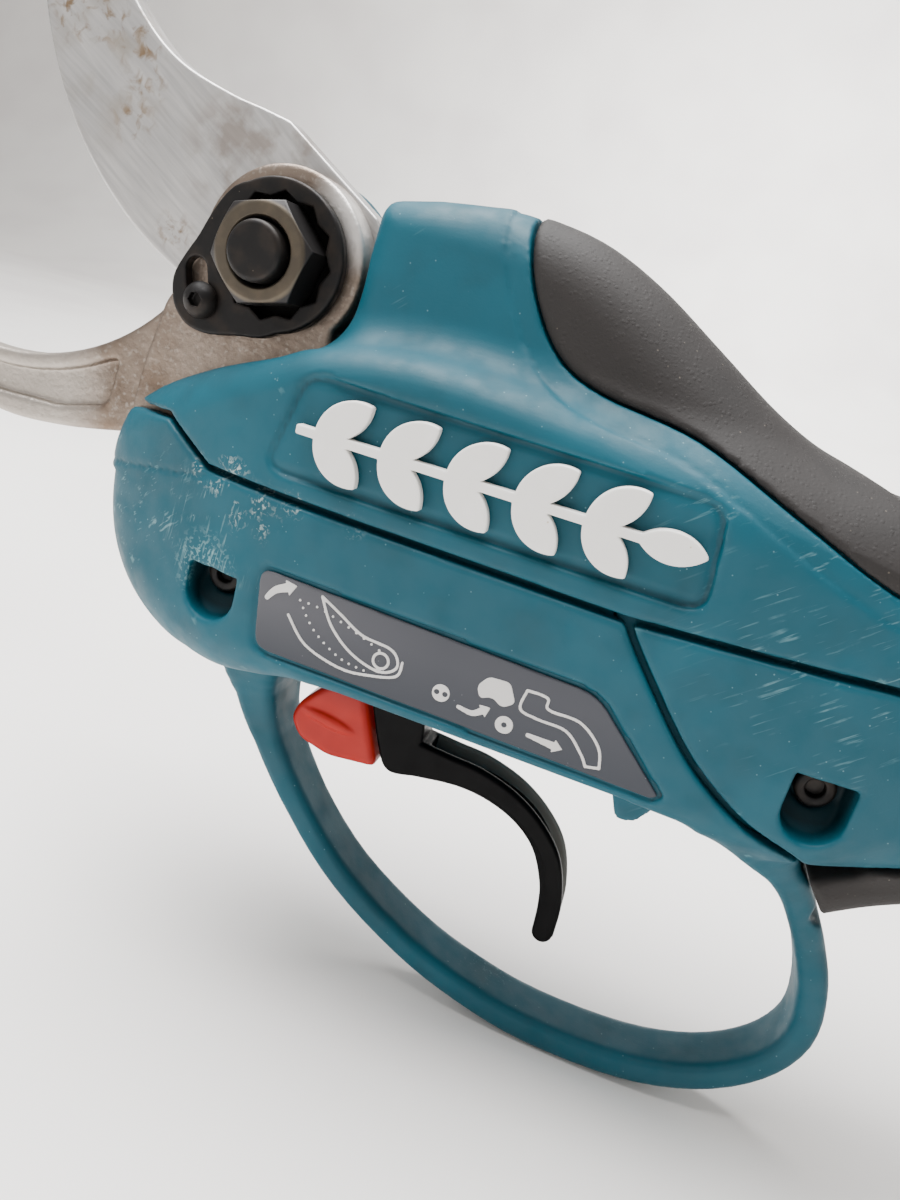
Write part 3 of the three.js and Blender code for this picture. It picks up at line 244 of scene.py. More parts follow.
# ---------------------------------------------------------------- body form
BODY_PLAN = smooth([(-26, 0), (-25.2, 5), (-23.2, 10), (-19, 14.8), (-13, 18.2), (-5, 21.2), (4, 23.4),
                    (13, 24.6), (24, SIDE_Y), (45, SIDE_Y), (62, SIDE_Y), (78, 24.8), (90, 24),
                    (100, 22.8), (115, 21.3), (140, 20.3), (170, 20), (200, 19.5), (218, 18.2),
                    (226, 15.8), (230, 10), (230.5, 0)])
BODY_SIDE = smooth([(-20.8, -24.6), (-24.6, -30), (-25.4, -36), (-24.2, -43), (-20.4, -49.6), (-13.5, -55.6),
                    (-4, -59.4), (5, -59.6), (13, -57.4), (20, -55), (27, -54.3)], 5) + smooth(
                   [(68, -54.3), (78, -55), (92, -56), (102, -54.6), (115, -52.8), (140, -50.8), (170, -51),
                    (200, -52.6), (218, -52.9), (227, -50.5), (230.5, -44), (230.5, -29), (227, -22.5),
                    (218, -18.6), (200, -15), (170, -11.5), (140, -10), (115, -9.2), (100, -8.6), (90, -8.6),
                    (76, -9.4), (62, -8.8), (45, -7.6), (32, -6.9), (22, -7.4), (12, -9.6), (2, -13.6),
                    (-8, -18.4), (-16, -22.4)], 5)
HUMP_SIDE = [(12.9, -24), *arc(16.3, 8, 3.4, 180, 104, 8), *smooth(
             [(20.9, 12.6), (27, 13.5), (32.3, 14), (42.4, 12.9), (51.6, 9.4), (61.5, 3.8), (71.4, -1.9),
              (80.2, -5.4), (92, -8), (106, -10.5)], 5), (106, -24)]
HUMP_PLAN = smooth([(5, 14.2), (14, 16.2), (22, 17), (32, 17.5), (42, 17.8), (52, 18.2), (62, 19), (72, 20.5),
                    (82, 21.5), (94, 22)])


def mirrored(half):
    return half + [(x, -y) for x, y in reversed(half)]


def along_x(g, places):
    """A value that changes along X, from a list of (x, value)."""
    return np.interp(g.x, *zip(*places)).astype(np.float32)


def outer_form(g):
    """The outside of the whole body: nose, skirt and handle, with the hump filleted on to it."""
    low_places = [(-25, 10), (0, 10), (12, 6), (22, 2.6), (70, 2.6), (90, 5), (105, 10), (130, 14), (230, 15)]
    low_round = along_x(g, low_places)
    high_round = along_x(g, [(-20, 8), (0, 6), (14, 4.6), (50, 4.8), (66, 7), (80, 11), (95, 14), (230, 15)])
    middle = along_x(g, [(-25, -36), (230, -33)])
    body = both(g.side(BODY_SIDE), g.top(mirrored(BODY_PLAN)), np.where(g.z > middle, high_round, low_round))
    hump_round = along_x(g, [(14, 3.6), (22, 5.4), (32, 7), (52, 10), (80, 14)])
    lean = 0.06 * (g.z + 8)
    hump = both(g.side(HUMP_SIDE), g.top(mirrored(HUMP_PLAN)) + lean, hump_round)
    return either(body, hump, 5.5)


# ---------------------------------------------------------------- seams
UPPER_SEAM = [(-FAR, -26.6), (-20.6, -26), (-8.1, -24.5), (0.4, -29.3), (61, -30.3), (94, -28.4),
              (140, -29.5), (300, -40)]
REAR_SEAM = smooth([(60, -24), (61.2, -30), (67.4, -37.8), (74.9, -45.6), (83.1, -51), (90.6, -53.9),
                    (94.4, -57.2),
                    (97.1, -60.4), (101, -65.5), (104.4, -70), (140, -70)])


def upper_zone(g, gap=HALF_SEAM):
    return g.side([(x, z + gap) for x, z in UPPER_SEAM] + [(300, FAR), (-FAR, FAR)])


def lower_zone(g, gap=HALF_SEAM):
    return g.side([(x, z - gap) for x, z in UPPER_SEAM] + [(300, -200), (-FAR, -200)])


def front_zone(g, gap=HALF_SEAM):
    """Ahead of and below the rear seam."""
    return g.side([(-FAR, 0), *REAR_SEAM, (140, -200), (-FAR, -200)]) + gap


def rear_zone(g, gap=HALF_SEAM):
    return g.side([(300, 0), *REAR_SEAM, (300, -70)]) + gap


TOP_GRIP = smooth([(33, 24), (33.6, 16), (34.6, 10), (37.6, 3.2), (42.5, -2.6), (49.2, -5.4), (62.5, -7.4),
                   (76.8, -12.8), (91, -18), (112, -22), (150, -23.5), (200, -28.6), (218, -31)]) + arc(
                   218, -26, 5, -80, 0, 6) + [(223, 30), (33, 30)]
LOWER_GRIP = [(92.6, -59), *smooth([(95.2, -58.2), (100, -55), (105.2, -52), (130, -46.2), (170, -44.9),
                                    (214, -45)]),
              *arc(216, -50, 5, 80, 0, 6), (221, -90), (92.6, -90)]
EMBLEM_PANEL = rounded([(12.6, -12.4), (68.4, -13), (70, -26.5), (9.2, -26.5)], 3)
LABEL_PANEL = rounded([(11.4, -39.1), (61.2, -40.3), (73.4, -51.4), (72, -52.8), (13, -52)], 2.8)
HEAD_OPENING = [(-50, -34), (-24, -26.4), *smooth([(-21.8, -25), (-17.2, -21.9), (-9.4, -17.7), (-0.7, -14.8),
                (6.9, -11.8), (10.8, -8.4)]), *arc(0, 0, OPENING_R, -30, 12, 8), (13.6, 8),
                (14.2, 40), (-60, 40)]
FRONT_SCREW = (4.6, -44.6)
REAR_SCREW = (91.2, -45.2)
END_SCREW = (199, -39.6)
TOP_SCREW = (28, 5.6)


def grip_pocket(g, outer):
    zone = np.minimum(g.side(TOP_GRIP), g.side(LOWER_GRIP))
    return both(zone, -(outer + GRIP_DEPTH + 0.3))


def lower_blade_outline():
    hook = arc(*LOWER_EDGE, 238, 318, 24)
    under = smooth([(-20, -31), (-31.5, -33.4), (-43, -34.2), (-54, -31.6), (-63, -25), (-68, -16.6)])
    root = [(12, -30), (6.4, -39.4), (-8, -41)]
    return [*hook, (-15.6, -8.4), *arc(0, 0, BOSS_R, 200, -38, 36), *root, *under]


def blade_slots(g):
    """Room for the hook's root, and for the upper blade's edge when it is closed."""
    close = math.radians(CLOSE_DEG)
    x, z, r = UPPER_EDGE
    middle = (x * math.cos(close) - z * math.sin(close), x * math.sin(close) + z * math.cos(close))
    swept = g.side([*arc(*middle, r + 0.9, 190, 320, 30), *arc(0, 0, HEAD_CUT_R + 5, -50, 60, 8)])
    upper = both(swept, g.slab(BLADE_OUTER_Y - 0.5, BLADE_INNER_Y + 0.5))
    lower = both(g.side(lower_blade_outline()) - 0.6, g.slab(BOSS_OUTER_Y - 0.5, BLADE_OUTER_Y))
    return np.minimum(upper, lower)


def skin(outer):
    return both(outer, -(outer + WALL))


def tongue(outer, zone):
    """The thin edge of a shell that stands up behind the shell next to it."""
    return both(both(outer + 2.4, -(outer + WALL)), zone)


# ---------------------------------------------------------------- shells
def upper_housing(side, plastic):
    left = side < 0
    name = "upper_housing_left" if left else "upper_housing_right"
    g = Grid((-22, -26.5 if left else -2, -44), (231.5, 0.6 if left else 26.5, 16), 0.45)
    outer = outer_form(g)
    shell = both(skin(outer), upper_zone(g), EDGE_ROUND)
    shell = without(shell, both(outer + 2.2, lower_zone(g, -2.8)))
    shell = without(shell, grip_pocket(g, outer), 0.35)
    rim = np.abs(g.side(TOP_GRIP) - 2.7) - 0.3
    shell = without(shell, both(rim, -(outer + 0.3)), 0.2)
    shell = without(shell, both(g.side(TOP_GRIP) - 2.7, -(outer + 0.22)), 0.15)
    shell = without(shell, g.side(HEAD_OPENING), 0.9)
    if left:
        panel = g.side(EMBLEM_PANEL)
        shell = without(shell, both(panel, g.y + SIDE_Y - PANEL_DEPTH), 0.4)
        shell = without(shell, both(np.abs(panel + 0.5) - 0.4, g.y + SIDE_Y - PANEL_DEPTH - 0.35), 0.2)
        shell = without(shell, blade_slots(g))
        shell = both(shell, g.y + HALF_GAP, 0.3)
    else:
        drawn_in = np.interp(g.y, [1.4, 5, COVER_INNER_Y + 3], [0, 2.3, 2.6]).astype(np.float32)
        around = np.hypot(g.x, g.z) - COVER_R + drawn_in
        cover = both(around, g.slab(BLADE_INNER_Y + 0.8, COVER_INNER_Y + 3), 1.6)
        join = both(both(outer, upper_zone(g)), g.disc(0, 0, HEAD_CUT_R + 1.4, HALF_GAP, COVER_INNER_Y + 0.6))
        shell = either(shell, either(cover, join, 1), 1)
        inside = both(around + COVER_WALL, g.slab(-FAR, COVER_INNER_Y), 0.6)
        shell = without(shell, inside)
        x, z = TOP_SCREW
        shell = without(shell, g.disc(x, z, 3.1, 11, FAR), 0.4)
        shell = both(shell, HALF_GAP - g.y, 0.3)
        below = g.side([(-60, -9), (30, -9), (30, -60), (-60, -60)])
        shell = without(shell, both(below, g.slab(-FAR, HALF_GAP)))
    return surface(name, shell, g, "body", plastic)


def lower_housing(side, plastic):
    left = side < 0
    name = "lower_housing_left" if left else "lower_housing_right"
    g = Grid((58, -26.5 if left else -0.6, -62), (231.5, 0.6 if left else 26.5, -22), 0.45)
    outer = outer_form(g)
    zone = both(lower_zone(g), rear_zone(g), 0.4)
    shell = both(skin(outer), zone, EDGE_ROUND)
    shell = np.minimum(shell, tongue(outer, both(lower_zone(g, -2), rear_zone(g, -1.5))))
    shell = without(shell, grip_pocket(g, outer), 0.35)
    for place in (REAR_SCREW, END_SCREW):
        shell = screw_seat(g, shell, outer, place, left)
    opening = np.hypot(g.y, g.z - CABLE_Z) - 6.2
    shell = without(shell, both(opening, 205 - g.x), 0.5)
    shell = both(shell, g.y + HALF_GAP if left else HALF_GAP - g.y, 0.3)
    return surface(name, shell, g, "body", plastic)


def screw_seat(g, shell, outer, place, left, top=POCKET_TOP):
    """A post across the shell. On the left side the screw's head sits in a pocket, square at the top and
    scooped out below."""
    x, z = place
    around = np.hypot(g.x - x, g.z - z)
    shell = np.minimum(shell, both(both(around - 4.6, outer + 0.4), g.slab(-23, 23)))
    if left:
        pocket = g.side([*arc(x, z - 1.9, 4.1, 180, 360, 14), (x + 4.1, z + top), (x - 4.1, z + top)])
        block = both(both(pocket - 1.6, outer + 0.4), g.slab(-23, SCREW_SEAT_Y + 2))
        floor = SCREW_SEAT_Y - 0.75 * np.maximum(z - 1.4 - g.z, 0)
        shell = without(np.minimum(shell, block), both(pocket, g.y - floor), 0.5)
        shell = without(shell, both(around - 3.1, np.abs(g.y - SCREW_SEAT_Y + 2) - 2))
    return without(shell, both(around - 1.9, g.slab(-FAR, 15.6)))


# The loop guard, station by station: x, z, how thick it is and its half width.
GUARD = [(7, -50, 17, 15), (6.6, -60, 11.5, 10.5), (7.8, -68, 7, 7), (11.2, -76, 5.2, 5.4),
         (19.8, -87.3, 4.6, 5), (30.4, -97, 4.5, 5), (44, -104.6, 4.6, 5), (56, -108.6, 4.8, 5),
         (68.5, -110.6, 5, 5), (84.5, -109.9, 5, 5), (96.2, -106.2, 4.8, 5), (104.4, -99.8, 4.6, 5),
         (108.2, -92, 4.6, 5), (107.2, -83.5, 4.6, 5.2), (103.6, -75.4, 4.6, 6.4), (98.4, -67, 4.6, 10),
         (94, -61.6, 5, 14), (88.5, -57, 6.4, 18.5), (82, -52, 8, 21)]


def guard_loop(g):
    """The band round the trigger: its middle line, thickness and half width change along it."""
    line = smooth([station[:2] for station in GUARD], 4)
    apart, place = path_distance(line, g.x, g.z)
    share = place / 4
    thick = np.interp(share, range(len(GUARD)), [s[2] for s in GUARD]).astype(np.float32)
    width = np.interp(share, range(len(GUARD)), [s[3] for s in GUARD]).astype(np.float32)
    return both(apart - thick / 2, np.abs(g.y) - width, 1.7)


def guard_shell(plastic):
    g = Grid((-27, -26, -115), (113, 26, -21), 0.45)
    outer = outer_form(g)
    loop = guard_loop(g)
    form = either(outer, both(loop, g.z + 50), 4)
    seam_gap = np.where(g.z < -56, 0.2, HALF_SEAM).astype(np.float32)
    zone = both(lower_zone(g), front_zone(g, seam_gap), 0.4)
    shell = both(without(form, np.maximum(outer + WALL, -(g.z + 53.2))), zone, EDGE_ROUND)
    shell = without(shell, both(outer + 2.2, rear_zone(g, -1.8)))
    raised = both(both(lower_zone(g, -2), front_zone(g, 1.8)), -4 - g.x)
    shell = np.minimum(shell, tongue(outer, raised))
    crease, _ = path_distance([(-30, -37), (-24.4, -35.8), (1.4, -30.3)], g.x, g.z)
    shell = without(shell, both(crease - 0.22, -(outer + 0.25)), 0.2)
    shell = without(shell, blade_slots(g))
    panel = g.side(LABEL_PANEL)
    shell = without(shell, both(panel, g.y + SIDE_Y - PANEL_DEPTH), 0.3)
    shell = screw_seat(g, shell, outer, FRONT_SCREW, True, FRONT_POCKET_TOP)
    slot = both(both(np.abs(g.x - 32) - 10, np.abs(g.y) - TRIGGER_HALF - 1.2), np.abs(g.z + 60) - 16)
    shell = without(shell, slot, 0.7)
    lug = both(g.side(rounded([(66.5, -54), (74.2, -54), (71.2, -58.6), (68.6, -59)], 1)), g.slab(-20, -10))
    shell = either(shell, both(lug, -(outer + WALL)), 0.6)
    return surface("guard_shell", shell, g, "body", plastic)


def top_grip(rubber):
    g = Grid((31, -23.5, -34), (225, 23.5, 16), 0.55)
    outer = outer_form(g)
    zone = g.side(TOP_GRIP) + 0.3
    crown = both(outer - 0.15, zone, 1.1)
    field = without(crown, outer + GRIP_DEPTH)
    return surface("top_grip", field, g, "body", rubber)


def lower_grip(rubber):
    g = Grid((91, -23.5, -66), (223, 23.5, -42), 0.55)
    outer = outer_form(g)
    heel_line = [(90, -54), (94, -61.6), *smooth([(98.6, -64.2), (103.6, -60.6), (108, -58), (115, -54.4),
                                                  (122, -50.6)]), (122, -40), (94, -40)]
    heel = both(g.side(heel_line), np.abs(g.y) - 18.6, 4)
    form = either(outer - 0.15, heel, 3)
    zone = g.side(LOWER_GRIP) + 0.3
    field = without(both(form, zone, 1.1), outer + GRIP_DEPTH)
    field = both(field, rear_zone(g, np.where(g.z < -56, -0.05, 0.4).astype(np.float32)), 0.2)
    return surface("lower_grip", field, g, "body", rubber)


# ---------------------------------------------------------------- cutting head
def upper_blade(steel):
    g = Grid((-61, -6.9, -16), (17, -1.8, 56), 0.32, 0.13)
    edge = arc(*UPPER_EDGE, 247, 161, 60)
    back = smooth([(-44.6, 53), (-40.4, 42.5), (-34.5, 31.5), (-29, 25.6), (-23, 22), (-15, 19.8), (-9.9, 19),
                   (-5.4, 18.2)])
    outline = g.side([*edge, *back, *arc(0, 0, BLADE_HUB_R, 40, -112, 30)])
    flat = both(outline, g.slab(BLADE_OUTER_Y, BLADE_INNER_Y), 0.35)
    x, z, r = UPPER_EDGE
    from_edge = r - np.hypot(g.x - x, g.z - z)
    around = np.hypot(g.x, g.z)
    # The left face is ground away towards the cutting edge, except round the pivot.
    ground = 0.94 * (BLADE_INNER_Y - 0.5 - g.y) - 0.52 * from_edge
    field = both(flat, np.minimum(ground, 15 - around), 0.25)
    hub = both(around - 7.3, np.abs(g.z) - 5.9)
    field = without(field, hub, 0.2)
    return surface("upper_blade", field, g, "blade", steel)


def lower_blade(cast):
    g = Grid((-69, -12.6, -43), (14, -6.2, 14), 0.35, 0.2)
    lobe = np.hypot(g.x + 11, g.z + 5.6) - 3.2
    outline = either(g.side(lower_blade_outline()), lobe, 1)
    field = both(outline, g.slab(BOSS_OUTER_Y, BLADE_OUTER_Y - 0.3), 0.7)
    shoulder = smooth([(-20.5, -40), (-19.6, -30), (-18.6, -20), (-16.5, -8.6), (-17, 2)])
    step = g.side([(-90, -52), (-20.5, -52), *shoulder, (-90, 12)])
    field = without(field, both(step, g.y - BOSS_OUTER_Y - 1.3), 0.8)
    x, z, r = LOWER_EDGE
    hollow = g.side(rounded([(-23.6, -20.6), *arc(x, z, r + 2.6, 301, 250, 8), (-57, -27.6),
                             (-45, -31), (-33, -30.4), (-24.6, -28)], 1.5))
    field = without(field, both(hollow, g.y - BOSS_OUTER_Y - 2.9), 0.9)
    field = without(field, g.disc(0, 0, BOLT_R + 0.3, -FAR, FAR), 0.2)
    field = without(field, g.disc(-9.3, -8.4, 1.6, -FAR, BOSS_OUTER_Y + 4.4), 0.2)
    for x, z in ((-6, -34), (4, -24.5)):
        field = without(field, g.disc(x, z, 2.3, -FAR, FAR), 0.2)
    return surface("lower_blade", field, g, "body", cast)


def pivot_bolt(oxide):
    g = Grid((-8.5, -21.2, -8.5), (8.5, 12.6, 8.5), 0.16, 0.2)
    shank = g.disc(0, 0, BOLT_R, BOLT_END_Y, COVER_INNER_Y - 2, 0.75)
    turn = [math.radians(60 * i) for i in range(6)]
    hexagon = g.side([(7 * math.cos(t), 7 * math.sin(t)) for t in turn])
    head = both(hexagon, g.slab(COVER_INNER_Y - 4.4, COVER_INNER_Y - 0.3), 0.5)
    field = np.minimum(shank, head)
    return surface("pivot_bolt", field, g, "body", oxide)


def pivot_nut(oxide):
    g = Grid((-8.2, -19.4, -8.2), (8.2, -11.8, 8.2), 0.13)
    turn = [math.radians(60 * i + 14) for i in range(6)]
    r = 6.5 / math.cos(math.pi / 6)
    hexagon = g.side([(r * math.cos(t), r * math.sin(t)) for t in turn])
    field = both(hexagon, g.slab(NUT_OUTER_Y, BOSS_OUTER_Y - 0.3), 0.12)
    around = np.hypot(g.x, g.z)
    cone = 0.55 * (around - 6.25) - 0.83 * (g.y - NUT_OUTER_Y)
    field = both(field, cone, 0.1)
    field = without(field, around - BOLT_R - 0.25 - 0.5 * np.maximum(NUT_OUTER_Y + 0.9 - g.y, 0), 0.1)
    return surface("pivot_nut", field, g, "body", oxide)


def lock_plate(oxide):
    g = Grid((-15.4, -14.9, -13.4), (11, -11.9, 11), 0.16)
    ring = np.hypot(g.x, g.z) - 10.3
    ear = g.side(rounded([(-12.9, -2), (-14.8, -6.2), (-14, -10), (-11.6, -12.4), (-8.2, -12.9), (2, -10.6),
                          (-2, 2), (-6.4, 8.4)], 3))
    star = [arc(0, 0, 7.7 if i % 2 else 8.6, 15 * i, 15 * i, 1)[0] for i in range(24)]
    plate = both(either(ring, ear, 2), g.slab(PLATE_OUTER_Y, BOSS_OUTER_Y - 0.3), 0.45)
    plate = without(plate, g.side(star), 0.15)
    slot, _ = path_distance([(-9.3, -8.4), (-10.6, -6.4), (-11.1, -4.4)], g.x, g.z)
    plate = without(plate, slot - 1.65, 0.3)
    return surface("lock_plate", plate, g, "body", oxide)


def lock_screw(oxide):
    g = Grid((-12.2, -17, -11.2), (-6.4, -7.6, -5.6), 0.11)
    x, z = -9.3, -8.4
    around = np.hypot(g.x - x, g.z - z)
    dome = np.sqrt(around**2 + (1.25 * (g.y - PLATE_OUTER_Y + 0.3)) ** 2) - 2.6
    head = both(dome, g.y - PLATE_OUTER_Y + 0.3, 0.2)
    field = np.minimum(head, both(around - 1.3, g.slab(-15, BOSS_OUTER_Y + 4)))
    turn = [math.radians(60 * i + 10) for i in range(6)]
    socket = g.side([(x + 1.05 * math.cos(t), z + 1.05 * math.sin(t)) for t in turn])
    field = without(field, both(socket, g.y - PLATE_OUTER_Y + 1.1), 0.12)
    return surface("lock_screw", field, g, "body", oxide)


def housing_screw(name, place, oxide):
    """A pan-head screw with a hexagon socket, its head to the left."""
    x, z = place
    g = Grid((x - 3.2, SCREW_SEAT_Y - 2.8, z - 3.2), (x + 3.2, SCREW_SEAT_Y + 34, z + 3.2), 0.16, 0.2)
    around = np.hypot(g.x - x, g.z - z)
    out = SCREW_SEAT_Y - g.y
    head = both(around - 2.7, np.abs(out - 1.15) - 1.05, 0.55)
    shank = both(around - 1.5, np.abs(out + 15.5) - 16, 0.3)
    socket = both(around - 1.25, 1.0 - out)
    field = without(np.minimum(head, shank), socket, 0.2)
    return surface(name, field, g, "body", oxide)


# ---------------------------------------------------------------- trim
def emblem(white):
    """A raised sprig: a stem, pairs of pointed leaves and one at its tip. A leaf is what two discs share."""
    g = Grid((10, -26.4, -27), (70, -24.1, -12), 0.2, 0.12)
    sprig = both(np.abs(g.x - 37.2) - 23.8, np.abs(g.z - SPRIG_Z) - 0.65)
    leaves = [(16 + 9.1 * i, angle, 8.8, 2.3) for i in range(5) for angle in (38, -38)] + [(59, 0, 9, 2.1)]
    for x, angle, length, half in leaves:
        r = (length**2 / 4 + half**2) / (2 * half)
        a = math.radians(angle)
        u, v = x + length / 2 * math.cos(a), SPRIG_Z + length / 2 * math.sin(a)
        sides = [np.hypot(g.x - u + d * math.sin(a), g.z - v - d * math.cos(a)) - r
                 for d in (r - half, half - r)]
        sprig = np.minimum(sprig, np.maximum(*sides))
    field = both(sprig, g.slab(-SIDE_Y - 1, -SIDE_Y + PANEL_DEPTH - 0.15), 0.22)
    return surface("emblem", field, g, "body", white)


def function_label(film):
    g = Grid((9, -25, -54), (74, -23.9, -37), 0.25, 0.06)
    field = both(g.side(LABEL_PANEL) + 0.7, g.slab(-SIDE_Y + 0.35, -SIDE_Y + PANEL_DEPTH - 0.05), 0.1)
    return surface("function_label", field, g, "body", film)


def label_print(ink):
    """Plain pictograms on the label: the blade opening and closing, and the lever and the trigger."""
    g = Grid((10, -25, -53), (74, -24.4, -38), 0.13, 0.07)

    def stroke(points, width=0.2):
        apart, _ = path_distance(points, g.x, g.z)
        return apart - width

    def dots(points, count=13):
        p = np.array(points)
        reach = np.concatenate([[0], np.cumsum(np.hypot(*np.diff(p, axis=0).T))])
        found = [np.hypot(g.x - np.interp(s, reach, p[:, 0]), g.z - np.interp(s, reach, p[:, 1])) - 0.2
                 for s in np.linspace(0, reach[-1], count)]
        return np.minimum.reduce(found)

    def arrow(points, width, head):
        apart, place = path_distance(points, g.x, g.z)
        (ax, az), (bx, bz) = points[-2:]
        size = math.hypot(bx - ax, bz - az)
        ux, uz = (bx - ax) / size, (bz - az) / size
        wing = head * 0.9
        tip = [(bx + head * ux * 1.2, bz + head * uz * 1.2), (bx - uz * wing, bz + ux * wing),
               (bx + uz * wing, bz - ux * wing)]
        taper = width * (0.55 + 0.45 * place / (len(points) - 1))
        return np.minimum(apart - taper, g.side(tip))

    def ring(x, z, r, width=0.2):
        return np.abs(np.hypot(g.x - x, g.z - z) - r) - width

    open_blade = smooth([(21.8, -40.8), (24, -44.4), (27.6, -47.2), (32, -48.4), (34.4, -47), (33.2, -44.8),
                         (28.6, -44.2), (25, -42.4), (21.8, -40.8)])
    shut_blade = smooth([(18.8, -42.4), (21.6, -45.8), (26, -48.4), (30, -49)])
    shut_back = smooth([(18.8, -42.4), (22, -42.6), (26.6, -43.8), (31.4, -45.4)])
    hook = smooth([(17.6, -45), (21, -48.4), (26.6, -49.9), (31, -49.4), (34.6, -48.2), (35, -46)])
    marks = [stroke(open_blade), dots(shut_blade), dots(shut_back, 11), stroke(hook), ring(32, -46.8, 1.1),
             arrow(smooth([(14, -43.6), (15, -42.2), (16.6, -41.3)]), 0.65, 1.3)]
    lever = g.side(rounded([(45.6, -45.4), (46.8, -43.6), (49.8, -43.4), (51.2, -46), (49.6, -47.2),
                            (48, -46.2), (46.4, -47)], 0.7))
    finger = smooth([(52.2, -43.6), (52, -46.4), (54.6, -47), (58.6, -47.2), (61.4, -49.6), (62.4, -51)])
    finger_back = smooth([(52.2, -43.6), (55, -43.7), (55.6, -45.2), (60, -45.4), (63.2, -47.8),
                          (64.2, -50.6)])
    marks += [lever, stroke(finger), stroke(finger_back), stroke([finger[-1], finger_back[-1]]),
              arrow(smooth([(44, -49.2), (46, -49.4), (47.2, -48.6)]), 0.5, 1.1),
              arrow([(54, -49.6), (57.6, -49.8)], 0.55, 1.1)]
    marks += [np.hypot(g.x - 41.2, g.z + 48.2) - 1.25, np.hypot(g.x - 50.6, g.z + 49.4) - 1.25]
    knocked = [np.hypot(g.x - x, g.z - z) - 0.38 for x, z in ((50.6, -49.4), (40.6, -48.2), (41.8, -48.2))]
    field = without(np.minimum.reduce(marks), np.minimum.reduce(knocked))
    field = both(both(field, g.side(LABEL_PANEL) + 1.1), g.slab(-SIDE_Y + 0.26, -SIDE_Y + 0.46))
    return surface("label_print", field, g, "body", ink, [])


def cable_gland(rubber):
    g = Grid((207, -10.4, -47), (237, 10.4, -26), 0.3)
    around = np.hypot(g.y, g.z - CABLE_Z)
    sleeve = both(around - 5.8, np.abs(g.x - 219.5) - 11.5, 0.4)
    collar = both(around - 9.4, np.abs(g.x - 231.3) - 1.3, 0.6)
    cone = both(around - 9.6 + 0.38 * (g.x - 231), np.abs(g.x - 233.4) - 2.6, 0.6)
    field = either(either(sleeve, collar, 0.3), cone, 0.4)
    for x in (213, 217, 221, 225):
        field = without(field, both(np.abs(around - 5.9) - 0.35, np.abs(g.x - x) - 0.7), 0.2)
    field = without(field, around - 3.6, 0.5)
    return surface("cable_gland", field, g, "body", rubber)


# ---------------------------------------------------------------- controls
def trigger(black):
    g = Grid((25, -4.2, -94.4), (68.4, 4.2, -38.5), 0.24)
    front = smooth([(26, -60.6), (29.4, -69.2), (32.4, -74), (38, -73.2), (43.8, -72.3), (49.5, -72.6),
                    (55.1, -74.5), (59.4, -78), (62.2, -83.3), (63.2, -87.6), (63.6, -91.8)])
    back = smooth([(67.3, -92), (66.8, -85.4), (64.4, -78.3), (60.2, -73.4), (54.6, -69.8), (48, -67.8),
                   (42.4, -67.4), (37, -67)])
    outline = g.side([*front, *arc(65.4, -92.1, 1.8, 180, 360, 8), *back, (36.4, -62), (36.4, -45),
                      (34.5, -39.5), (30.5, -39.5), (27, -46)])
    field = both(outline, np.abs(g.y) - TRIGGER_HALF, 0.8)
    from_front, _ = path_distance(front, g.x, g.z)
    channel = both(both(2.3 - from_front, np.abs(g.y) - 2.2), np.maximum(38.4 - g.x, -88.6 - g.z), 0.6)
    field = without(field, channel, 0.4)
    crease, _ = path_distance(smooth([(45, -73.6), (50.6, -74), (56, -76.2), (60, -80), (62, -85)]), g.x, g.z)
    field = without(field, both(crease - 1.6, TRIGGER_HALF - 0.25 - np.abs(g.y)), 0.3)
    lever_room = g.side([(20, -53.6), (34.6, -53.6), (34.6, -64), (30, -80), (20, -80)])
    field = without(field, both(lever_room, np.abs(g.y) - 2), 0.4)
    for x, z in (TRIGGER_PIN, LEVER_PIN):
        field = without(field, np.hypot(g.x - x, g.z - z) - PIN_HOLE_R)
    return surface("trigger", field, g, "trigger", black)


def lock_lever(red):
    g = Grid((13.4, -5.6, -76), (35.2, 5.6, -53.5), 0.22)
    outline = g.side(rounded([(25.4, -61), (21.4, -61), (18.6, -63.2), (15, -67.6), (14.2, -70.6),
                              (16.4, -73.7), (22, -75.1), (30.8, -73.9), (28.8, -69.4)], 1.5))
    nose = both(outline, np.abs(g.y) - LEVER_HALF, 1.3)
    across = g.z + 68.6 + 0.12 * (g.x - 21)
    outward = np.abs(g.y) - LEVER_HALF
    ridge = np.sqrt(((g.x - 21) / 4.4) ** 2 + (across / 1.1) ** 2 + (outward / 0.6) ** 2) - 1
    nose = either(nose, ridge, 0.3)
    x, z = LEVER_PIN
    tab = g.side([(23.4, -62), (28.4, -56.2), *arc(x, z, 3, 125, -70, 10), (27.4, -70), (24, -68)])
    field = either(nose, both(tab, np.abs(g.y) - 1.7, 0.2), 0.3)
    field = without(field, np.hypot(g.x - x, g.z - z) - PIN_HOLE_R)
    return surface("lock_lever", field, g, "lever", red)


# ---------------------------------------------------------------- materials
TEAL = (3, 69, 83)
RUBBER = (34, 31, 30)


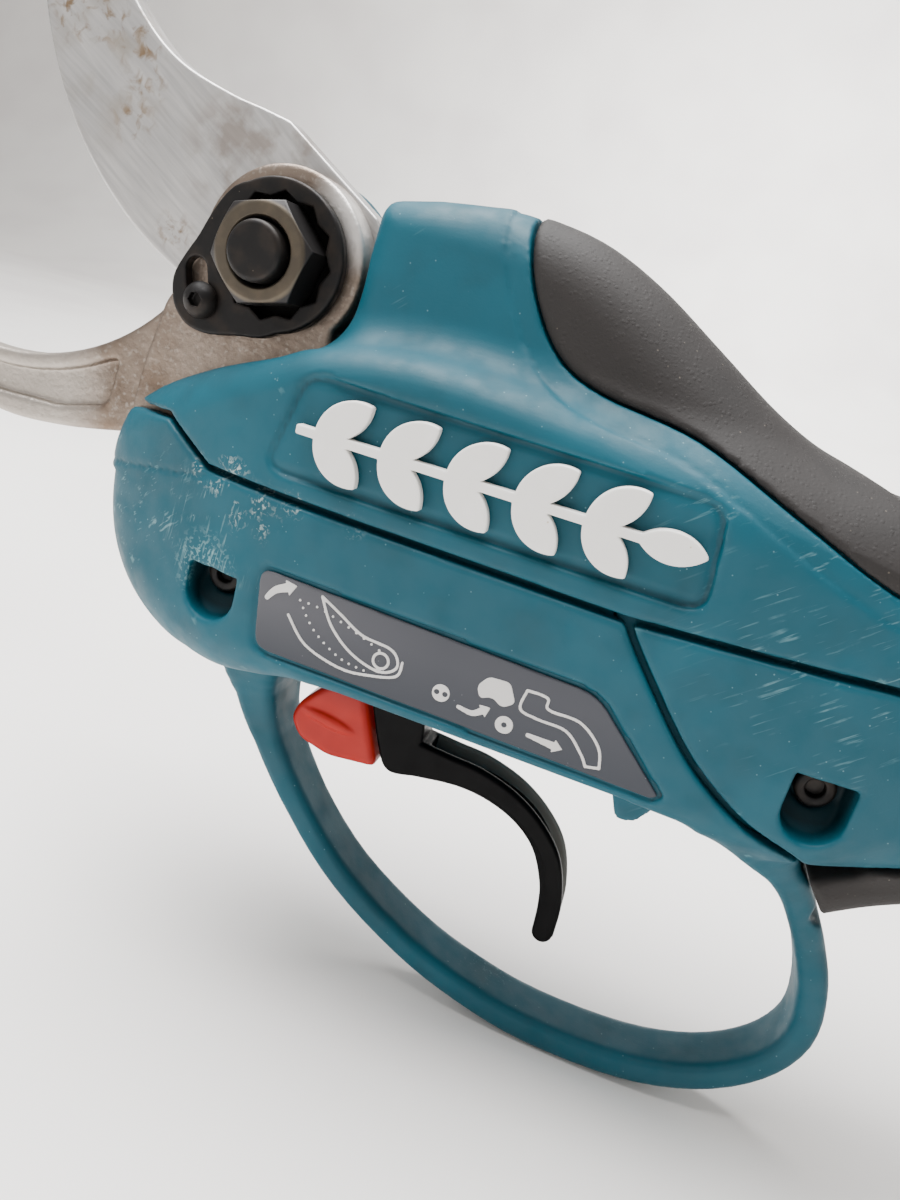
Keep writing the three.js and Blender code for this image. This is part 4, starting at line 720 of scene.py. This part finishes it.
class Paint:
    """A procedural material in the object's own space, where one unit of `scale` is one feature a metre."""

    def __init__(self, name, colour, roughness, metallic=0.0, **more):
        self.material = bpy.data.materials.new(name)
        self.material.use_nodes = True
        self.tree = self.material.node_tree
        self.shader = self.tree.nodes["Principled BSDF"]
        self.shader.inputs["Base Color"].default_value = (*colour, 1)
        self.shader.inputs["Roughness"].default_value = roughness
        self.shader.inputs["Metallic"].default_value = metallic
        for key, value in more.items():
            self.shader.inputs[key.replace("_", " ")].default_value = value
        self.here = self.add("ShaderNodeTexCoord").outputs["Object"]
        self.height = None

    def add(self, kind, **inputs):
        node = self.tree.nodes.new(kind)
        for key, value in inputs.items():
            self.feed(node.inputs[key.replace("_", " ")], value)
        return node

    def feed(self, socket, value):
        if isinstance(value, bpy.types.NodeSocket):
            self.tree.links.new(value, socket)
        else:
            socket.default_value = value

    def maths(self, operation, a, b=0.0, clamp=False):
        node = self.tree.nodes.new("ShaderNodeMath")
        node.operation = operation
        node.use_clamp = clamp
        self.feed(node.inputs[0], a)
        self.feed(node.inputs[1], b)
        return node.outputs[0]

    def streaks(self, scale, length, turn, detail=3.0):
        """Noise drawn out `length` times along a line that leans `turn` degrees from +Z towards +X."""
        node = self.add("ShaderNodeMapping", Vector=self.here)
        node.vector_type = "TEXTURE"
        node.inputs["Scale"].default_value = (1, 1, length)
        node.inputs["Rotation"].default_value = (0, math.radians(turn), 0)
        return self.noise(scale, detail, node.outputs[0])

    def noise(self, scale, detail=3.0, where=None, distortion=0.0):
        node = self.add("ShaderNodeTexNoise", Vector=where or self.here, Scale=scale, Detail=detail,
                        Distortion=distortion)
        return node.outputs["Fac"]

    def specks(self, scale, size, share):
        """Small round dots: `size` is their radius in cells, and `share` how many cells have one."""
        node = self.add("ShaderNodeTexVoronoi", Vector=self.here, Scale=scale)
        dot = self.ramp(node.outputs["Distance"], size, size * 0.5)
        chosen = self.add("ShaderNodeSeparateColor", Color=node.outputs["Color"])
        return self.maths("MULTIPLY", dot, self.maths("LESS_THAN", chosen.outputs[0], share))

    def ramp(self, value, low, high):
        """0 at low and 1 at high, clamped. low may be above high."""
        node = self.tree.nodes.new("ShaderNodeMapRange")
        self.feed(node.inputs["Value"], value)
        node.inputs["From Min"].default_value = low
        node.inputs["From Max"].default_value = high
        return node.outputs["Result"]

    def near(self, point, radius, fade):
        """1 within radius of a point given in millimetres from the pivot, fading to 0."""
        node = self.tree.nodes.new("ShaderNodeVectorMath")
        node.operation = "DISTANCE"
        self.feed(node.inputs[0], self.here)
        node.inputs[1].default_value = Vector(point) * MM + PIVOT
        return self.ramp(node.outputs["Value"], (radius + fade) * MM, radius * MM)

    def tint(self, colour, share):
        """Lays a colour over what is there, by a share from 0 to 1."""
        node = self.tree.nodes.new("ShaderNodeMix")
        node.data_type = "RGBA"
        socket = self.shader.inputs["Base Color"]
        if socket.is_linked:
            self.tree.links.new(socket.links[0].from_socket, node.inputs["A"])
        else:
            node.inputs["A"].default_value = socket.default_value
        node.inputs["B"].default_value = (*colour, 1)
        self.feed(node.inputs["Factor"], share)
        self.tree.links.new(node.outputs["Result"], socket)

    def roughen(self, amount, share):
        socket = self.shader.inputs["Roughness"]
        start = socket.links[0].from_socket if socket.is_linked else socket.default_value
        self.feed(socket, self.maths("ADD", start, self.maths("MULTIPLY", share, amount), clamp=True))

    def raise_by(self, height_mm, share):
        part = self.maths("MULTIPLY", share, height_mm * MM)
        self.height = part if self.height is None else self.maths("ADD", self.height, part)

    def done(self):
        if self.height is not None:
            bump = self.add("ShaderNodeBump", Height=self.height, Distance=1.0, Strength=1.0)
            self.tree.links.new(bump.outputs["Normal"], self.shader.inputs["Normal"])
        return self.material


def colour(r, g, b):
    """A colour given in display values from 0 to 255, as the shader's linear ones."""
    def line(c):
        c /= 255
        return c / 12.92 if c <= 0.04045 else ((c + 0.055) / 1.055) ** 2.4

    return line(r), line(g), line(b)


def product(paint, *shares):
    made = shares[0]
    for share in shares[1:]:
        made = paint.maths("MULTIPLY", made, share)
    return made


# Where the plastic is scuffed along the seam: the place, its reach and how strongly.
SEAM_SCUFFS = [((0.5, -22, -29.6), 1.2, 0.95), ((5, -23, -30), 1.8, 0.9), ((9, -24, -33), 2.2, 0.55),
               ((15, -24.6, -29.8), 1.0, 0.6), ((24, -25, -30), 0.9, 0.4), ((12, -24.6, -28), 0.8, 0.3)]


def teal_plastic():
    p = Paint("teal_plastic", colour(*TEAL), 0.52, Specular_IOR_Level=0.3)
    p.tint(colour(*[c * 1.15 for c in TEAL]), p.ramp(p.noise(45, 2), 0.4, 0.75))
    p.tint(colour(*[c * 0.8 for c in TEAL]), product(p, p.ramp(p.noise(130, 3), 0.5, 0.8), 0.5))
    p.raise_by(0.014, p.noise(3000, 2))
    p.raise_by(0.008, p.noise(1100, 2))
    p.roughen(0.2, p.ramp(p.noise(300, 3), 0.4, 0.8))
    dust = p.maths("MAXIMUM", p.specks(1500, 0.2, 0.05), p.specks(700, 0.09, 0.06))
    p.tint(colour(120, 160, 166), product(p, dust, 0.4))
    fine = p.ramp(p.streaks(2600, 18, 6, 4), 0.56, 0.66)
    slant = p.ramp(p.streaks(2200, 20, 50, 4), 0.58, 0.68)
    flakes = p.ramp(p.noise(1500, 6, distortion=0.8), 0.53, 0.6)
    broken = p.ramp(p.noise(260, 4), 0.46, 0.6)
    for place, reach, share in SEAM_SCUFFS:
        p.tint(colour(176, 192, 188), product(p, p.near(place, reach, reach * 1.3), flakes, broken, share))
    p.tint(colour(120, 160, 164), product(p, p.near((3.4, -23, -37), 3.6, 7), fine, broken, 0.75))
    p.tint(colour(112, 150, 156), product(p, p.near((-9, -19, -38), 4, 7), slant, broken, 0.7))
    p.tint(colour(120, 160, 162), product(p, p.near((3, -23, -43), 2, 4), flakes, 0.6))
    p.tint(colour(100, 142, 150), product(p, p.near((88, -25, -24), 10, 14), slant, broken, 0.5))
    p.tint(colour(104, 146, 152), product(p, slant, p.ramp(p.noise(70, 3), 0.64, 0.74), 0.35))
    curved = p.add("ShaderNodeNewGeometry").outputs["Pointiness"]
    # painted shade: concave creases darkened by their pointiness
    p.tint(colour(2, 30, 38), product(p, p.ramp(curved, 0.48, 0.43), 0.75))
    p.tint(colour(96, 140, 146), product(p, p.ramp(curved, 0.54, 0.62), broken, 0.5))
    # painted shade: the plastic darkened round each screw pocket
    for x, z in (FRONT_SCREW, REAR_SCREW):
        p.tint(colour(4, 28, 34), product(p, p.near((x, -15.4, z), 6.2, 1.6), 0.8))
    return p.done()


def rubber_paint():
    p = Paint("grip_rubber", colour(*RUBBER), 0.66, Specular_IOR_Level=0.3)
    p.tint(colour(*[c * 1.25 for c in RUBBER]), p.ramp(p.noise(45, 3), 0.45, 0.8))
    p.tint(colour(*[c * 0.75 for c in RUBBER]), p.ramp(p.noise(90, 2), 0.5, 0.8))
    p.raise_by(0.035, p.noise(2300, 3))
    p.raise_by(0.02, p.specks(1500, 0.45, 0.5))
    p.tint(colour(110, 102, 92), product(p, p.specks(1100, 0.16, 0.1), 0.5))
    return p.done()


# Where sap has dried on the blade besides its tip: x, z and the reach of each spot.
SAP_SPOTS = [(-42, 26, 2.6), (-36, 25.5, 1.6), (-30.6, 23.6, 2), (-28.6, 18.4, 1), (-30, 13.4, 1.2),
             (-20.4, -0.6, 0.6)]


def blade_steel():
    p = Paint("blade_steel", colour(188, 186, 184), 0.36, 1.0)
    strokes = p.streaks(1800, 26, -60, 5)
    p.tint(colour(172, 170, 169), p.ramp(strokes, 0.4, 0.68))
    p.tint(colour(204, 202, 200), product(p, p.ramp(p.streaks(1100, 14, -52), 0.52, 0.72), 0.5))
    p.raise_by(0.006, strokes)
    p.roughen(0.2, p.ramp(p.noise(120, 4), 0.35, 0.75))
    patchy = p.ramp(p.noise(520, 8, distortion=0.6), 0.5, 0.64)
    sap = product(p, patchy, p.near((-39, -6, 34), 3, 8))
    for x, z, reach in SAP_SPOTS:
        sap = p.maths("MAXIMUM", sap, product(p, patchy, p.near((x, -6, z), reach, 3.4)))
    p.tint(colour(118, 92, 58), product(p, sap, 0.85))
    smears = p.ramp(p.noise(200, 6), 0.48, 0.7)
    p.tint(colour(158, 148, 134), product(p, p.near((-34, -6, 20), 4, 10), smears, 0.6))
    nick = p.specks(330, 0.15, 0.06)
    p.tint(colour(50, 46, 46), product(p, nick, p.ramp(p.noise(900, 3), 0.42, 0.56), 0.9))
    p.roughen(0.3, sap)
    stain = product(p, p.near((-9, -6, 12), 7, 7), p.ramp(p.noise(260, 4), 0.45, 0.65))
    p.tint(colour(128, 114, 102), product(p, stain, 0.6))
    return p.done()


def cast_steel():
    p = Paint("cast_steel", colour(134, 121, 110), 0.44, 0.9)
    p.tint(colour(100, 86, 75), p.ramp(p.noise(130, 3), 0.42, 0.7))
    p.tint(colour(166, 158, 149), product(p, p.ramp(p.noise(1300, 4), 0.54, 0.7), 0.5))
    p.raise_by(0.11, p.noise(620, 3))
    p.raise_by(0.06, p.noise(1700, 2))
    # painted highlight: a pale spot on the boss's upper rear rim
    p.tint(colour(222, 218, 214), product(p, p.near((10, -12, 8), 3, 5), 0.9))
    grime = p.ramp(p.noise(160, 4), 0.45, 0.7)
    p.tint(colour(104, 82, 64), product(p, p.near((-24, -12, -24), 6, 10), grime, 0.6))
    p.tint(colour(184, 178, 170), product(p, p.near((-46, -10, -30), 14, 8), 0.6))
    # painted shade: the boss painted near black under the lock plate, where its notches show it
    shade_under_plate = p.near((0, -12, 0), 8.9, 0.3)
    p.tint(colour(16, 15, 14), shade_under_plate)
    p.roughen(0.3, shade_under_plate)
    return p.done()


def black_oxide():
    p = Paint("black_oxide", colour(30, 29, 29), 0.42, 0.6, Specular_IOR_Level=0.3)
    p.tint(colour(46, 40, 36), p.ramp(p.noise(300, 3), 0.45, 0.75))
    p.raise_by(0.012, p.noise(1400, 3))
    p.roughen(0.2, p.ramp(p.noise(500, 3), 0.4, 0.7))
    p.tint(colour(120, 110, 98), product(p, p.specks(1500, 0.18, 0.05), 0.6))
    return p.done()


def nut_steel():
    """Black oxide, worn brown on the chamfered face round the bolt."""
    p = Paint("nut_oxide", colour(42, 40, 40), 0.4, 0.6)
    split = p.add("ShaderNodeSeparateXYZ", Vector=p.here)
    face = PIVOT.y + NUT_OUTER_Y * MM
    outer = p.ramp(split.outputs["Y"], face + 0.35 * MM, face + 0.12 * MM)
    p.tint(colour(72, 65, 55), outer)
    p.tint(colour(90, 80, 66), product(p, outer, p.ramp(p.noise(420, 4), 0.45, 0.7), 0.7))
    p.raise_by(0.01, p.noise(1500, 3))
    return p.done()


def simple(name, base, roughness, metallic=0.0, grain=900, height=0.01, lighter=0.25, **more):
    """A plain moulded or machined finish, with fine grain and a little unevenness."""
    p = Paint(name, colour(*base), roughness, metallic, **more)
    bright = colour(*[min(255, c + 60) for c in base])
    p.tint(bright, product(p, p.ramp(p.noise(grain * 0.3, 3), 0.5, 0.8), lighter))
    p.raise_by(height, p.noise(grain, 3))
    p.roughen(0.15, p.ramp(p.noise(grain * 0.4, 3), 0.45, 0.7))
    return p


# Slots of the inner pieces: colour, roughness, metallic, grain and its height, and how much is lighter.
PLAIN_FINISHES = {
    "gear_steel": ((176, 176, 178), 0.34, 1, 900, 0.01, 0.3),
    "bronze": ((176, 140, 78), 0.38, 1, 900, 0.01, 0.3),
    "alloy": ((150, 152, 156), 0.45, 1, 700, 0.03, 0.3),
    "board": ((24, 92, 58), 0.4, 0, 700, 0.01, 0.3),
    "wire_red": ((170, 30, 24), 0.35, 0, 500, 0.01, 0.2),
    "wire_black": ((22, 22, 22), 0.4, 0, 500, 0.01, 0.2),
}


def black_plastic():
    """Glossy black, with painted light: the far wall of the trigger's channel painted grey as if lit."""
    p = simple("black_plastic", (2, 2, 3), 0.3, 0, 700, 0.004, 0.01, Specular_IOR_Level=0.07)
    split = p.add("ShaderNodeSeparateXYZ", Vector=p.here)
    wall = p.ramp(split.outputs["Y"], PIVOT.y + 1.9 * MM, PIVOT.y + 2.1 * MM)
    wall = product(p, wall, p.ramp(split.outputs["Y"], PIVOT.y + 3 * MM, PIVOT.y + 2.7 * MM))
    arm = p.ramp(split.outputs["X"], PIVOT.x + 38.2 * MM, PIVOT.x + 38.8 * MM)
    # painted light: the far inner wall of the channel painted grey as if lit
    p.tint(colour(112, 112, 108), product(p, wall, arm, 0.9))
    return p.done()


def red_plastic():
    p = simple("red_plastic", (166, 34, 25), 0.34, 0.0, 700, 0.02, 0.06, Specular_IOR_Level=0.2)
    p.tint(colour(150, 28, 22), p.ramp(p.noise(120, 3), 0.5, 0.75))
    p.tint(colour(220, 130, 112), product(p, p.specks(1100, 0.2, 0.06), 0.4))
    # painted shade: the lever darker towards its top
    height = p.add("ShaderNodeSeparateXYZ", Vector=p.here).outputs["Z"]
    p.tint(colour(120, 26, 24), p.ramp(height, PIVOT.z - 66 * MM, PIVOT.z - 61 * MM))
    return p.done()


def label_film():
    p = Paint("label_film", colour(56, 58, 65), 0.34, Specular_IOR_Level=0.3)
    split = p.add("ShaderNodeSeparateXYZ", Vector=p.here)
    # painted light: the label paler towards its front end
    paler = p.ramp(split.outputs["X"], PIVOT.x + 40 * MM, PIVOT.x + 12 * MM)
    p.tint(colour(84, 84, 89), product(p, paler, 0.6))
    # painted shade: the label darker towards its bottom
    p.tint(colour(42, 46, 54), p.ramp(split.outputs["Z"], PIVOT.z - 44 * MM, PIVOT.z - 52 * MM))
    p.tint(colour(120, 122, 130), product(p, p.specks(1300, 0.14, 0.04), 0.5))
    p.raise_by(0.004, p.noise(1200, 2))
    return p.done()


def white_plastic():
    p = simple("white_trim", (232, 230, 226), 0.4, 0.0, 800, 0.008, 0.2)
    p.tint(colour(176, 150, 104), product(p, p.specks(700, 0.12, 0.04), 0.6))
    return p.done()


# ---------------------------------------------------------------- studio
# The camera stands on the tool's left. EYE is in millimetres from the pivot.
PAN_DEG, TILT_DEG, ROLL_DEG = 10.51, -17.31, 15.88
EYE = (59.457, -135.354, -0.247)


def place_camera():
    data = bpy.data.cameras.new("camera")
    data.lens = 27
    data.sensor_width = 36
    data.clip_start = 0.005
    camera = bpy.data.objects.new("camera", data)
    pan = Matrix.Rotation(math.radians(PAN_DEG), 4, "Z")
    tilt = Matrix.Rotation(math.radians(90 + TILT_DEG), 4, "X")
    turn = pan @ tilt @ Matrix.Rotation(math.radians(ROLL_DEG), 4, "Z")
    camera.matrix_world = Matrix.Translation(Vector(EYE) * MM + PIVOT) @ turn
    link(camera)
    bpy.context.scene.camera = camera


def area_light(name, place, target, size, power):
    data = bpy.data.lights.new(name, "AREA")
    data.shape = "DISK"
    data.size = size
    data.energy = power
    light = bpy.data.objects.new(name, data)
    light.location = place
    light.rotation_euler = (Vector(target) - Vector(place)).to_track_quat("-Z", "Y").to_euler()
    link(light)


def studio():
    world = bpy.data.worlds.new("studio")
    world.use_nodes = True
    sky = world.node_tree.nodes["Background"].inputs
    sky["Color"].default_value = (0.92, 0.89, 0.87, 1)
    sky["Strength"].default_value = 0.56
    bpy.context.scene.world = world
    area_light("key", (-0.2, 0.03, 0.8), (-0.04, 0, 0), 0.9, 32)
    area_light("fill", (-0.6, -0.7, 0.45), (-0.03, 0, 0), 0.9, 1.5)
    area_light("back", (0.1, 1.0, 0.6), (0, 1.6, 0.1), 0.9, 27)
    floor_z = CAD_BOX[0].z - 0.0003
    width, near, far, bend, rise = 3.0, -2.0, 1.3, 0.6, 1.8
    profile = [(near, 0), (far, 0)]
    turns = np.linspace(0.1, math.pi / 2, 14)
    profile += [(far + bend * math.sin(t), bend * (1 - math.cos(t))) for t in turns]
    profile.append((far + bend, rise))
    points = [(x, y, floor_z + z) for y, z in profile for x in (-width, width)]
    faces = [(2 * i, 2 * i + 1, 2 * i + 3, 2 * i + 2) for i in range(len(profile) - 1)]
    mesh = bpy.data.meshes.new("backdrop")
    mesh.from_pydata(points, [], faces)
    mesh.polygons.foreach_set("use_smooth", np.ones(len(faces), bool))
    backdrop = bpy.data.objects.new("backdrop", mesh)
    link(backdrop)
    p = Paint("backdrop", (0.93, 0.91, 0.88), 0.6)
    p.tint((0.85, 0.82, 0.80), p.ramp(p.noise(6, 2), 0.4, 0.7))
    mesh.materials.append(p.done())


# ---------------------------------------------------------------- the whole tool
def finish_cad_nodes(finishes):
    """Gives each CAD node that stays its material."""
    for row in frame["record"]["subparts"]:
        node = frame["nodes"][row["node"]]
        node.data.materials.clear()
        node.data.materials.append(finishes[row["material_slot"]])


def main():
    place_camera()
    studio()
    teal = teal_plastic()
    rubber = rubber_paint()
    oxide = black_oxide()
    white = white_plastic()
    finishes = {
        "teal": teal,
        "rubber": rubber,
        "white": white,
        "label": label_film(),
        "red": red_plastic(),
        "black_plastic": black_plastic(),
        "blade_steel": blade_steel(),
        "cast_steel": cast_steel(),
        "black_oxide": oxide,
    }
    finishes.update((slot, simple(slot, *look).done()) for slot, look in PLAIN_FINISHES.items())
    finish_cad_nodes(finishes)
    for side in (-1, 1):
        upper_housing(side, teal)
        lower_housing(side, teal)
    guard_shell(teal)
    top_grip(rubber)
    lower_grip(rubber)
    upper_blade(finishes["blade_steel"])
    lower_blade(finishes["cast_steel"])
    pivot_bolt(oxide)
    pivot_nut(nut_steel())
    lock_plate(oxide)
    lock_screw(oxide)
    housing_screw("housing_screw_front", FRONT_SCREW, oxide)
    housing_screw("housing_screw_middle", REAR_SCREW, oxide)
    housing_screw("housing_screw_rear", END_SCREW, oxide)
    emblem(white)
    function_label(finishes["label"])
    label_print(simple("label_ink", (200, 198, 196), 0.4, 0, 900, 0.0, 0.1).done())
    cable_gland(rubber)
    trigger(finishes["black_plastic"])
    lock_lever(finishes["red"])


main()
